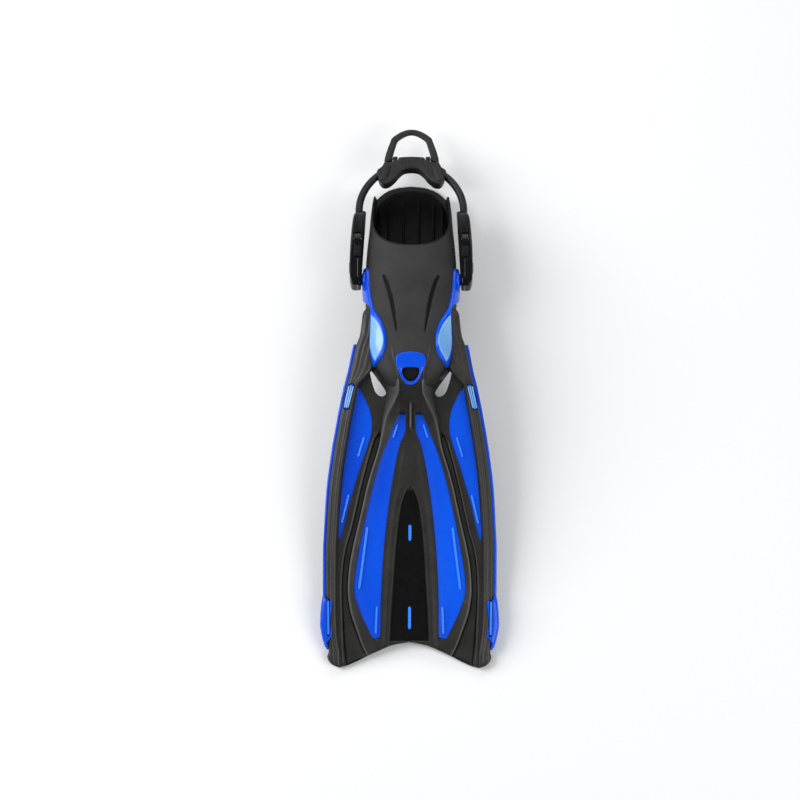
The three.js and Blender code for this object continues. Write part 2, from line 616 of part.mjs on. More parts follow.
function strap(radius) {
  const arch = steps(0, Math.PI, 18).map((a) => archPoint(a, 0));
  const line = [[STRAP_X, STRAP_TAIL], [STRAP_X, 84], ...arch, [-STRAP_X, 84], [-STRAP_X, STRAP_TAIL]];
  const points = line.map(([x, y]) => new THREE.Vector3(x, y, 0));
  const round = arc([0, 0], radius, 0, 2 * Math.PI, 10).slice(1);
  const rings = points.map((p, i) => {
    const before = points[Math.max(i - 1, 0)];
    const after = points[Math.min(i + 1, points.length - 1)];
    const along = after.clone().sub(before).normalize();
    return round.map(([u, v]) => [p.x + along.y * u, p.y - along.x * u, v]);
  });
  return loft(rings);
}

function heelPad() {
  const outer = steps(Math.PI / 2, Math.PI * 0.285, 8).map((a) => archPoint(a, PAD_OUT));
  const lobe = [[39, 131.5], [34.7, 127.6], [28, 128.6], [21, 134.5], [15.5, 141.5], [9, 147.4]];
  const inner = smooth([...lobe, [0, 148.6]], 16);
  const half = [...outer, [41.8, 139], ...inner];
  const band = plate([...half, ...mirrored(half).slice(1, -1)], -PAD_HALF, PAD_HALF);
  const lug = plate([[17.4, 150], [23.2, 150], [23.2, LOOP_AXIS], [17.4, LOOP_AXIS]], -KNUCKLE, KNUCKLE);
  const lugs = both(lug.add(bar(KNUCKLE, [17.4, 23.2], LOOP_AXIS, 0, 20)));
  const bores = both(bar(PIN_RADIUS + 0.3, [18.4, 40], LOOP_AXIS, 0, 12));
  return cut(band.add(lugs), strap(STRAP_RADIUS + GAP), bores);
}

function pullLoop() {
  const outer = [
    [34.5, 155.5], [33.4, 166], [30, 178], [25.6, 190], [22.4, 194.4], [14, 200.6], [6, 203.9],
    [0, 204.4],
  ];
  const inner = [
    [0, 197.6], [10, 195], [17.4, 188.4], [20.6, 180], [23.6, 171.5], [23.6, 160.2], [29, 156.6],
  ];
  const flat = plate([...outer, ...mirrored(outer).slice(1)], -4, 4);
  const eye = plate([...inner, [29, 140], ...mirrored([...inner, [29, 140]]).slice(0, -1)], -9, 9);
  const knuckles = both(bar(KNUCKLE, [23.6, 32], LOOP_AXIS, 0, 20));
  const bores = both(bar(PIN_RADIUS + 0.12, [20, 31.3], LOOP_AXIS, 0, 12));
  const padFace = steps(0.02, Math.PI - 0.02, 24).map((a) => archPoint(a, PAD_OUT + LOOP_SWING_GAP));
  const padRoom = plate([[0, 100], ...padFace], -20, 20);
  return cut(cut(flat, eye).add(knuckles), bores, padRoom);
}

function buildStrap() {
  place(strapFrame, "heel_strap", strap(STRAP_RADIUS), RUBBER);
  place(strapFrame, "heel_pad", heelPad(), SOFT);
  place(strapFrame, "pull_loop", pullLoop(), SOFT);
  placePair(strapFrame, "loop_pin", bar(PIN_RADIUS, [18.8, 30.9], LOOP_AXIS, 0, 12), STEEL);
}

buildBlade();
buildPocket();
buildBuckles();
buildStrap();

// The origin goes under the middle of the bounding box.
const bounds = new THREE.Box3().setFromObject(fin, true);
const middle = (bounds.min.y + bounds.max.y) / 2;
bladeFrame.position.y -= middle;
pocketFrame.position.y -= middle;
fin.updateMatrixWorld(true);

export default fin;
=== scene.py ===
"""The looks of an open-heel swim fin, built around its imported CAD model.

Lengths below are in millimetres until they reach a mesh, which is in metres. Three local frames are used:
  blade   x across, y along the blade (tips at negative y), z out of the upper face
  pocket  x across, y along the sole to the heel, z up from the sole
  strap   x across, y from the strap posts to the heel pad, z through the strap's thickness
"""

import math

import bmesh
import bpy
from mathutils import Matrix, Vector
from mathutils.geometry import delaunay_2d_cdt


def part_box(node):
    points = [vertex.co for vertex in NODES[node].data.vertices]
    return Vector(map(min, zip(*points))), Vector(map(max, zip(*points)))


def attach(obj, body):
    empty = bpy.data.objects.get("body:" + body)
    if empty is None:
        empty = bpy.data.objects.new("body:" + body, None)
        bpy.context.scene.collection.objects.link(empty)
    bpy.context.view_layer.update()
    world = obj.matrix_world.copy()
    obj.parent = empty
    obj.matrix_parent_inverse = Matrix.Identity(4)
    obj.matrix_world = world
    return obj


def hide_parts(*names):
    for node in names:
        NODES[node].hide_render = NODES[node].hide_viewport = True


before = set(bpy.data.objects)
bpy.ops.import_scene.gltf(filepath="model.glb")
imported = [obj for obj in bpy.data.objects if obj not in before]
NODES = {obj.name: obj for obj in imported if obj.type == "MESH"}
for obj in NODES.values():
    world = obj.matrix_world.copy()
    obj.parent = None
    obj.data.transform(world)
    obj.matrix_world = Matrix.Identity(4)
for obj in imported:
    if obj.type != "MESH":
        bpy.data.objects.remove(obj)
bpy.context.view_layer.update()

MM = 0.001
BLADE_TILT = math.radians(11.8)
SOLE_TILT = math.radians(15.2)
STRAP_RAISE = math.radians(5)
BEND_HEIGHT = 75
POST_Y = 130
POST_Z = 38
FOLD = BLADE_TILT + SOLE_TILT

# ---------------------------------------------------------------- frames


def bend_y():
    """Where the bend lies along the row's Y, found from the heel end of the sole plate."""
    reach = 282 * math.cos(SOLE_TILT) + 3.2 * math.sin(SOLE_TILT)
    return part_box("sole_plate")[1][1] / MM - reach


BEND = Vector((0, bend_y(), BEND_HEIGHT))
TO_ROW = Matrix.Scale(MM, 4)
BLADE = TO_ROW @ Matrix.Translation(BEND) @ Matrix.Rotation(BLADE_TILT, 4, "X")
POCKET = TO_ROW @ Matrix.Translation(BEND) @ Matrix.Rotation(-SOLE_TILT, 4, "X")
STRAP = POCKET @ Matrix.Translation((0, POST_Y, POST_Z)) @ Matrix.Rotation(STRAP_RAISE, 4, "X")

# ---------------------------------------------------------------- curves


def profile(*knots):
    """A smooth curve through (at, value) knots that never overshoots them."""
    rows = sorted(knots)
    x = [row[0] for row in rows]
    y = [row[1] for row in rows]
    slope = [(y[i + 1] - y[i]) / (x[i + 1] - x[i]) for i in range(len(x) - 1)]
    tangent = [slope[0]]
    for before, after in zip(slope, slope[1:]):
        tangent.append(0 if before * after <= 0 else 2 * before * after / (before + after))
    tangent.append(slope[-1])

    def value(at):
        if at <= x[0]:
            return y[0]
        if at >= x[-1]:
            return y[-1]
        i = next(k for k in range(len(x)) if x[k] > at) - 1
        span = x[i + 1] - x[i]
        t = (at - x[i]) / span
        ease = t * t * (3 - 2 * t)
        rise = span * t * (1 - t) * ((1 - t) * tangent[i] - t * tangent[i + 1])
        return y[i] + ease * (y[i + 1] - y[i]) + rise

    return value


def steps(low, high, count):
    return [low + (high - low) * i / count for i in range(count + 1)]


def clamp(value, low=0.0, high=1.0):
    return max(low, min(high, value))


def ease(value):
    t = clamp(value)
    return t * t * (3 - 2 * t)


def catmull(points, count, closed=False):
    """Points on a smooth curve through the given ones, evenly spaced between each pair."""
    n = len(points)
    spans = n if closed else n - 1

    def at(i):
        return points[i % n] if closed else points[clamp(i, 0, n - 1)]

    out = []
    for i in range(spans):
        p = [at(i - 1), at(i), at(i + 1), at(i + 2)]
        for k in range(count):
            t = k / count
            weights = (
                -0.5 * t + t * t - 0.5 * t**3,
                1 - 2.5 * t * t + 1.5 * t**3,
                0.5 * t + 2 * t * t - 1.5 * t**3,
                -0.5 * t * t + 0.5 * t**3,
            )
            out.append(tuple(sum(w * q[a] for w, q in zip(weights, p)) for a in range(len(p[0]))))
    return out if closed else out + [tuple(points[-1])]


def turns(count):
    """Angles evenly spaced round a full turn."""
    return steps(0, 2 * math.pi, count)[:-1]


def rounded(share):
    """0 to 1 up a quarter circle: steep at first, level at the end."""
    return math.sqrt(1 - (1 - clamp(share)) ** 2)


def signed_power(value, exponent):
    """A power that keeps the value's sign, for sections between a circle and a rectangle."""
    return math.copysign(abs(value) ** exponent, value)


def rounded_corners(half_x, half_y, radius, count):
    """A rectangle's four rounded corners, each a list of points, anticlockwise from +x +y."""
    made = []
    for quarter, (sx, sy) in enumerate(((1, 1), (-1, 1), (-1, -1), (1, -1))):
        x, y = sx * (half_x - radius), sy * (half_y - radius)
        arc = steps(quarter * math.pi / 2, (quarter + 1) * math.pi / 2, count)
        made.append([(x + radius * math.cos(a), y + radius * math.sin(a)) for a in arc])
    return made


# ---------------------------------------------------------------- the fin's lines

edge = profile(
    (-328, 101.8), (-318, 103.4), (-300, 105.9), (-260, 107.2), (-200, 107.3), (-171, 106),
    (-127, 103.5), (-82, 98), (-37, 90.5), (0, 83), (22, 77.5), (52, 71.3), (67, 66.4), (98, 63),
)
trailing = profile(
    (0, -313), (20, -316.6), (38, -324), (56, -332.3), (74, -341.2), (85.3, -344.5),
)
TIP = (85.3, -328, 16.5)
BLUE_EDGE = 2.8
RAIL_WIDTH = 14.6
channel_outer = profile(
    (-344, 79), (-322, 81), (-273, 82.8), (-248, 83.4), (-223, 82.2), (-198, 78.6), (-174, 71.7),
    (-149, 66), (-124, 60.5), (-99, 54.3), (-74, 47.4), (-62, 43.6), (-54, 38),
)
channel_inner = profile(
    (-344, 44), (-330, 52), (-322, 56.8), (-298, 66), (-273, 74), (-248, 76.9), (-223, 75.4), (-198, 71.3),
    (-174, 65.8), (-149, 60), (-124, 54.6), (-99, 47.7), (-74, 40), (-54, 35),
)
window_outer = profile(
    (-311, 40), (-309, 44.4), (-296, 51.8), (-281, 59.3), (-268, 64.2), (-257, 68),
    (-245, 69.2), (-229, 68), (-192, 61.8), (-155, 54.3), (-118, 45.6), (-84, 35.7),
    (-55, 24.5), (-43, 20), (-35, 16.2), (-29, 12.6),
)
window_inner = profile(
    (-311, 37.6), (-305, 36.3), (-260, 35.3), (-211, 32.9), (-155, 27.7), (-118, 22.7),
    (-81, 15.9), (-65, 11.5), (-56, 7.2), (-50, 5.8), (-35, 5.8), (-30, 6.6),
)
side_inner = profile(
    (-187, 85.6), (-174, 82.2), (-140, 74.2), (-120, 68), (-99, 61.8), (-81, 55.6),
    (-62, 49.4), (-52, 47.2), (-43, 46.9), (-28, 49.4), (-19, 53), (-6, 59.3), (2, 64.2),
)
side_outer = profile(
    (-187, 87.6), (-181, 88.2), (-149, 86.4), (-99, 82), (-74, 78.6), (-50, 74.8),
    (-27, 70.6), (-10, 67.2), (2, 65.6),
)
hollow_half = profile(
    (-309, 23.6), (-273, 22), (-236, 19.5), (-198, 17), (-174, 14.5), (-146, 10.6),
    (-130, 5.6), (-121, 0.6),
)
pocket_half = profile(
    (-12, 15), (-6, 22), (0, 28), (9, 35.5), (18, 41.5), (27, 45.5), (40, 49), (90, 55),
    (125, 57), (150, 56.5), (180, 54.6), (207, 52), (224, 50.8), (240, 49), (256, 47), (270, 45),
)
pocket_top = profile(
    (-12, 24), (-6, 29.5), (4, 35.5), (20, 43), (50, 53), (90, 63), (130, 70.5), (163, 76), (270, 82),
)
WAIST = 20
SOLE_TOP = 3.5

# ---------------------------------------------------------------- mesh tools


def mesh_object(name, points, faces, matrix, material, smooth=True):
    """A mesh in the row frame, from points in a local frame."""
    mesh = bpy.data.meshes.new(name)
    mesh.from_pydata([matrix @ Vector(p) for p in points], [], faces)
    bm = bmesh.new()
    bm.from_mesh(mesh)
    bmesh.ops.recalc_face_normals(bm, faces=bm.faces)
    for face in bm.faces:
        face.smooth = smooth
    bm.to_mesh(mesh)
    bm.free()
    obj = bpy.data.objects.new(name, mesh)
    bpy.context.scene.collection.objects.link(obj)
    mesh.materials.append(material)
    return obj


def lofted(name, rings, matrix, material, closed=True, caps=True, loop=False):
    """Rings of equal length joined by quads: closed joins each ring's ends, loop joins last to first.
    Caps are one face each, or "strips" of quads for rings whose second half runs back under the first."""
    count = len(rings[0])
    points = [p for ring in rings for p in ring]
    faces = []
    for r in range(len(rings) if loop else len(rings) - 1):
        low, high = r * count, ((r + 1) % len(rings)) * count
        for i in range(count if closed else count - 1):
            j = (i + 1) % count
            faces.append((low + i, low + j, high + j, high + i))
    if caps == "strips":
        for start in (0, len(points) - count):
            for i in range(count // 2 - 1):
                faces.append((start + i, start + i + 1, start + count - 2 - i, start + count - 1 - i))
    elif caps and not loop:
        faces.append(tuple(range(count)))
        faces.append(tuple(range(len(points) - count, len(points))))
    return mesh_object(name, points, faces, matrix, material)


def bevelled(obj, width):
    bevel = obj.modifiers.new("bevel", "BEVEL")
    bevel.width = width * MM
    bevel.segments = 3
    bevel.limit_method = "ANGLE"
    bevel.angle_limit = math.radians(35)
    bevel.harden_normals = True


def smoothed(obj):
    """Subdivided once."""
    subdivision = obj.modifiers.new("subdivision", "SUBSURF")
    subdivision.levels = subdivision.render_levels = 1
    return obj


def prism(name, outline, low, high, matrix, material):
    """A flat outline made solid between two heights, with its faces triangulated."""
    count = len(outline)
    points = [(x, y, low) for x, y in outline] + [(x, y, high) for x, y in outline]
    faces = [tuple(range(count)), tuple(range(count, 2 * count))]
    faces += [(i, (i + 1) % count, count + (i + 1) % count, count + i) for i in range(count)]
    return mesh_object(name, points, faces, matrix, material, smooth=False)


def carve(obj, cutter):
    """Takes the cutter out of the object for good."""
    boolean = obj.modifiers.new("cut", "BOOLEAN")
    boolean.operation = "DIFFERENCE"
    boolean.solver = "EXACT"
    boolean.object = cutter
    bpy.context.view_layer.update()
    made = bpy.data.meshes.new_from_object(obj.evaluated_get(bpy.context.evaluated_depsgraph_get()))
    obj.modifiers.clear()
    obj.data = made
    bpy.data.objects.remove(cutter)
    return obj


def sharp_edges(obj, angle):
    """Smooth shading with a crease wherever two faces meet at more than the angle."""
    bm = bmesh.new()
    bm.from_mesh(obj.data)
    for face in bm.faces:
        face.smooth = True
    for e in bm.edges:
        e.smooth = len(e.link_faces) != 2 or e.calc_face_angle(0) < math.radians(angle)
    bm.to_mesh(obj.data)
    bm.free()
    return obj


def paint(obj, name, value):
    """Stores value(point in the row frame) on each vertex, for a material to read."""
    layer = obj.data.attributes.new(name, "FLOAT", "POINT")
    layer.data.foreach_set("value", [value(v.co) for v in obj.data.vertices])


def finished(obj, body, slot, *nodes):
    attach(obj, body)
    if nodes:
        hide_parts(*nodes)
    return obj


# ---------------------------------------------------------------- materials


class Look:
    """A material under construction: its node tree and a few shorthands."""

    def __init__(self, name, color, roughness, **principled):
        self.material = bpy.data.materials.new(name)
        self.material.use_nodes = True
        self.tree = self.material.node_tree
        self.shader = self.tree.nodes["Principled BSDF"]
        self.shader.inputs["Base Color"].default_value = (*color, 1)
        self.shader.inputs["Roughness"].default_value = roughness
        for key, value in principled.items():
            self.shader.inputs[key.replace("_", " ").title().replace("Ior", "IOR")].default_value = value
        self.coords = self.tree.nodes.new("ShaderNodeTexCoord").outputs["Object"]
        self.height = None

    def node(self, kind, **inputs):
        made = self.tree.nodes.new(kind)
        for key, value in inputs.items():
            socket = made.inputs[key.replace("_", " ")]
            if hasattr(value, "is_output"):
                self.tree.links.new(value, socket)
            else:
                socket.default_value = value
        return made

    def stretched(self, x, y, z):
        """Coordinates scaled to give the grain a direction."""
        mapping = self.node("ShaderNodeMapping", Vector=self.coords)
        mapping.inputs["Scale"].default_value = (x, y, z)
        return mapping.outputs[0]

    def noise(self, scale, detail=3, vector=None):
        return self.node(
            "ShaderNodeTexNoise", Vector=vector or self.coords, Scale=scale, Detail=detail
        ).outputs["Fac"]

    def cells(self, scale):
        made = self.node("ShaderNodeTexVoronoi", Vector=self.coords, Scale=scale)
        return made.outputs["Distance"]

    def ramp(self, value, *stops):
        """Colours at positions along a value: (position, (r, g, b)) or (position, grey)."""
        made = self.node("ShaderNodeValToRGB", Fac=value)
        elements = made.color_ramp.elements
        while len(elements) < len(stops):
            elements.new(0.5)
        for element, (position, color) in zip(elements, stops):
            element.position = position
            element.color = (*color, 1) if isinstance(color, tuple) else (color, color, color, 1)
        return made.outputs["Color"]

    def mix(self, factor, a, b):
        made = self.tree.nodes.new("ShaderNodeMix")
        made.data_type = "RGBA"
        for socket, value in ((made.inputs[0], factor), (made.inputs[6], a), (made.inputs[7], b)):
            if hasattr(value, "is_output"):
                self.tree.links.new(value, socket)
            else:
                socket.default_value = (*value, 1) if isinstance(value, tuple) else value
        return made.outputs[2]

    def attribute(self, name):
        made = self.tree.nodes.new("ShaderNodeAttribute")
        made.attribute_name = name
        return made.outputs["Fac"]

    def color(self, value):
        self.tree.links.new(value, self.shader.inputs["Base Color"])
        return self

    def rough(self, value, low, high):
        shade = self.ramp(value, (0.25, low), (0.75, high))
        self.tree.links.new(shade, self.shader.inputs["Roughness"])
        return self

    def bump(self, value, millimetres):
        """Adds relief of this height; several calls add up."""
        made = self.node("ShaderNodeBump", Height=value, Strength=1.0, Distance=millimetres * MM)
        if self.height:
            self.tree.links.new(self.height, made.inputs["Normal"])
        self.height = made.outputs[0]
        self.tree.links.new(self.height, self.shader.inputs["Normal"])
        return self


def scuffed(look, base, worn, scale=60):
    """Colour with cloudy handling marks and a few pale scuffs."""
    cloud = look.ramp(look.noise(scale, 4), (0.35, base), (0.7, tuple(c * 1.25 for c in base)))
    marks = look.ramp(look.noise(scale * 5, 6, look.stretched(1, 0.25, 1)), (0.62, 0.0), (0.8, 0.35))
    return look.color(look.mix(marks, cloud, worn))


def blue_plastic(name, base, deep):
    look = Look(name, base, 0.3, coat_weight=0.12, coat_roughness=0.12, specular_ior_level=0.25)
    # stretched mottling from the deep to the base blue: uneven tone of the moulding, its lighter streaks also
    # a painted sheen
    flow_and_sheen = look.ramp(look.noise(9, 2, look.stretched(1, 0.3, 1)), (0.3, deep), (0.72, base))
    haze = look.ramp(look.noise(160, 5, look.stretched(1, 0.2, 1)), (0.6, 0.0), (0.9, 0.05))
    look.color(look.mix(haze, flow_and_sheen, tuple(min(1, c * 1.4 + 0.02) for c in base)))
    look.rough(look.noise(140, 4), 0.2, 0.32)
    look.bump(look.noise(700, 2), 0.005)
    return look.material


# near-white blue for the upper facets of the side frames and the ribs of the rail windows: painted reflection
# of the light on the glossy blue
def highlight_plastic():
    look = Look("fin_pale_blue", (0.16, 0.38, 0.72), 0.26, coat_weight=0.3, coat_roughness=0.1)
    look.color(look.ramp(look.noise(14, 2), (0.3, (0.12, 0.34, 0.74)), (0.7, (0.24, 0.5, 0.84))))
    look.rough(look.noise(160, 4), 0.18, 0.3)
    look.bump(look.noise(900, 2), 0.01)
    return look.material


def frame_rubber():
    look = Look("blade_rubber", (0.03, 0.028, 0.026), 0.42, specular_ior_level=0.26)
    cloud = look.ramp(look.noise(40, 4), (0.35, (0.0135, 0.0127, 0.0117)), (0.7, (0.0205, 0.0193, 0.0176)))
    marks = look.ramp(look.noise(300, 6, look.stretched(1, 0.2, 1)), (0.66, 0.0), (0.85, 0.25))
    worn = look.mix(marks, cloud, (0.08, 0.078, 0.074))
    # painted highlight: a lighter grey mixed in along the ridge crests, the channel lips and the spine
    painted_highlight = look.node("ShaderNodeMath", Value=look.attribute("ridge_highlight"))
    painted_highlight.operation = "MULTIPLY"
    painted_highlight.inputs[1].default_value = 0.75
    look.color(look.mix(painted_highlight.outputs[0], worn, (0.13, 0.125, 0.118)))
    look.rough(look.noise(90, 4), 0.38, 0.56)
    look.bump(look.noise(1500, 3), 0.02)
    look.bump(look.noise(120, 3), 0.03)
    return look.material


def plain_rubber(name, base, worn, marks, specular, rough, grain):
    """Scuffed rubber: rough is (scale, detail, low, high), grain is (scale, detail, millimetres)."""
    look = Look(name, base, rough[2], specular_ior_level=specular)
    scuffed(look, base, worn, marks)
    look.rough(look.noise(*rough[:2]), *rough[2:])
    look.bump(look.noise(*grain[:2]), grain[2])
    return look.material


def pocket_rubber():
    """Soft thermoplastic rubber, moulded with a fine matt grain, with painted shade in its grooves, in the
    vent's opening and inside the pocket, and a painted highlight along the nose ridges.
    """
    look = Look("pocket_rubber", (0.05, 0.049, 0.048), 0.62, specular_ior_level=0.16)
    cloud = look.ramp(look.noise(30, 4), (0.3, (0.03, 0.0294, 0.0288)), (0.72, (0.041, 0.0402, 0.0395)))
    marks = look.ramp(look.noise(260, 6, look.stretched(1, 0.4, 1)), (0.66, 0.0), (0.84, 0.2))
    worn = look.mix(marks, cloud, (0.1, 0.1, 0.1))
    # painted shade where the groove attribute is above 0, painted highlight on the nose ridges where it is
    # below 0
    groove = look.node("ShaderNodeClamp", Value=look.attribute("groove")).outputs[0]
    crest = look.node("ShaderNodeMath", Value=look.attribute("groove"))
    crest.operation = "MULTIPLY"
    crest.inputs[1].default_value = -2.2
    crest = look.node("ShaderNodeClamp", Value=crest.outputs[0]).outputs[0]
    crest_highlighted = look.mix(crest, worn, (0.15, 0.148, 0.145))
    look.color(look.mix(groove, crest_highlighted, (0.0025, 0.0025, 0.0025)))
    look.rough(look.noise(70, 4), 0.54, 0.7)
    look.bump(look.noise(2200, 2), 0.02)
    look.bump(look.cells(1400), 0.012)
    return look.material


def buckle_plastic():
    look = Look("buckle_plastic", (0.003, 0.003, 0.0035), 0.14, specular_ior_level=0.24)
    hair = look.ramp(look.noise(500, 6, look.stretched(1, 0.08, 1)), (0.6, 0.0), (0.85, 0.2))
    look.color(look.mix(hair, (0.003, 0.003, 0.0035), (0.02, 0.02, 0.022)))
    look.rough(look.noise(180, 5), 0.12, 0.24)
    look.bump(look.noise(60, 2), 0.02)
    return look.material


def sole_plastic():
    look = Look("sole_plastic", (0.01, 0.01, 0.01), 0.5, specular_ior_level=0.2)
    scuffed(look, (0.008, 0.008, 0.0085), (0.04, 0.04, 0.04))
    look.bump(look.noise(1400, 2), 0.02)
    return look.material


def tread_rubber():
    """Outsole rubber: a moulded cross-bar tread."""
    look = Look("tread_rubber", (0.035, 0.034, 0.033), 0.6)
    scuffed(look, (0.032, 0.031, 0.03), (0.12, 0.118, 0.112))
    wave = look.node("ShaderNodeTexWave", Vector=look.coords, Scale=55.0, Distortion=0.0)
    wave.bands_direction = "Y"
    look.bump(look.ramp(wave.outputs["Fac"], (0.35, 0.0), (0.5, 1.0)), 0.7)
    look.bump(look.noise(1500, 2), 0.03)
    return look.material


def steel():
    look = Look("stainless_steel", (0.6, 0.61, 0.63), 0.28, metallic=1.0)
    look.rough(look.noise(700, 4, look.stretched(1, 30, 30)), 0.2, 0.4)
    look.bump(look.noise(1500, 2, look.stretched(1, 20, 20)), 0.005)
    return look.material


LOOKS = {
    "blue": blue_plastic("fin_blue", (0.0, 0.1, 0.82), (0.0, 0.05, 0.58)),
    # a lighter copy of the fin blue for its ribs, pills and guard ribs: painted highlight where they catch
    # the light
    "bright": blue_plastic("fin_bright_blue", (0.04, 0.26, 1.0), (0.02, 0.19, 0.92)),
    # near-white blue: painted reflection and highlight
    "pale": highlight_plastic(),
    "rubber": frame_rubber(),
    "rail": plain_rubber("rail_rubber", (0.025, 0.0235, 0.0212), (0.09, 0.088, 0.082), 50, 0.35,
                         (90, 4, 0.34, 0.5), (1400, 3, 0.02)),
    # the flexible channels and the recess down the middle
    "deep": plain_rubber("channel_rubber", (0.0028, 0.0027, 0.0025), (0.012, 0.012, 0.012), 60, 0.1,
                         (110, 3, 0.34, 0.5), (1100, 2, 0.015)),
    # the bed inside the foot pocket: black rubber, made nearer black as painted shade inside the pocket
    "shaded_liner": plain_rubber("liner_rubber", (0.0028, 0.0028, 0.003), (0.014, 0.014, 0.015), 70, 0.08,
                          (90, 4, 0.42, 0.6), (1600, 2, 0.02)),
    "pocket": pocket_rubber(),
    "strap": plain_rubber("strap_rubber", (0.007, 0.0068, 0.0085), (0.04, 0.039, 0.046), 90, 0.35,
                          (130, 4, 0.3, 0.46), (1300, 2, 0.015)),
    # the softer grey rubber of the heel pad and the pull loop
    "grip": plain_rubber("grip_rubber", (0.0105, 0.0098, 0.0092), (0.055, 0.053, 0.05), 80, 0.35,
                         (100, 4, 0.44, 0.6), (2000, 2, 0.02)),
    "buckle": buckle_plastic(),
    "sole": sole_plastic(),
    "tread": tread_rubber(),
    "steel": steel(),
}

# ---------------------------------------------------------------- blade

SIDES = (("right", 1), ("left", -1))
BLADE_TOP = 14  # where the blade's skin ends under the toes
BLADE_END = -345
END_ZONE = -290  # the rows bend from here on to follow the trailing edge
SKIN = 3.2
ridge_x = profile(
    (14, 15.5), (5, 15), (-2, 15), (-14, 19.5), (-25, 25), (-37, 30.5), (-52, 34.2), (-60, 35.8),
    (-74, 38.5), (-99, 46.2), (-124, 53), (-149, 58.4), (-174, 64.2), (-198, 69.7), (-223, 73.8),
    (-248, 75.3), (-273, 72.4), (-298, 64.4), (-322, 55), (-344, 42),
)
ridge_z = profile(
    (-345, 3.0), (-330, 4.4), (-290, 5.6), (-100, 6.4), (-70, 7.2), (-50, 9), (-34, 11.8),
    (-20, 16.5), (-8, 23), (0, 28.2), (6, 30.4), (10, 29.8), (14, 26.5),
)
centre_z = profile(
    (-345, SKIN), (-62, SKIN), (-48, 3.8), (-34, 6), (-24, 9), (-14, 14.5), (-6, 20.5), (0, 25.4),
    (5, 27.4), (9, 28), (14, 25.5),
)
neck_foot = profile((-54, 36), (-45, 35.5), (-34, 34), (-20, 31.5), (-5, 29.6), (5, 29.6), (14, 31))


def blade_end(x):
    """Where the blade ends below a point this far from its middle."""
    if x <= TIP[0]:
        return trailing(x)
    return TIP[1] - math.sqrt(max(TIP[2] ** 2 - (x - TIP[0]) ** 2, 0))


def blade_row(s, x):
    """The y of row s at this x: rows are level until the end zone, then follow the trailing edge."""
    if s >= END_ZONE:
        return s
    return END_ZONE + (s - END_ZONE) * (blade_end(x) - END_ZONE) / (BLADE_END - END_ZONE)


def on_row(s, line):
    """(x, y) where a line x = line(y) meets row s."""
    x = line(s)
    for _ in range(4):
        y = blade_row(s, x)
        x = line(y)
    return x, blade_row(s, x)


def rounded_end(s, height):
    """Rounds the surface over at the trailing edge."""
    return height * rounded((s - BLADE_END) / 6)


def inner_window(y):
    return ease((y + 312) / 5) * ease((-28.5 - y) / 5)


def side_window(y):
    return ease((y + 189.5) / 5) * ease((3.5 - y) / 5)


def channel_depth(y):
    return ease((-51 - y) / 12)


def hollow_depth(y):
    return ease((y + 312.5) / 2) * ease((-120 - y) / 8)


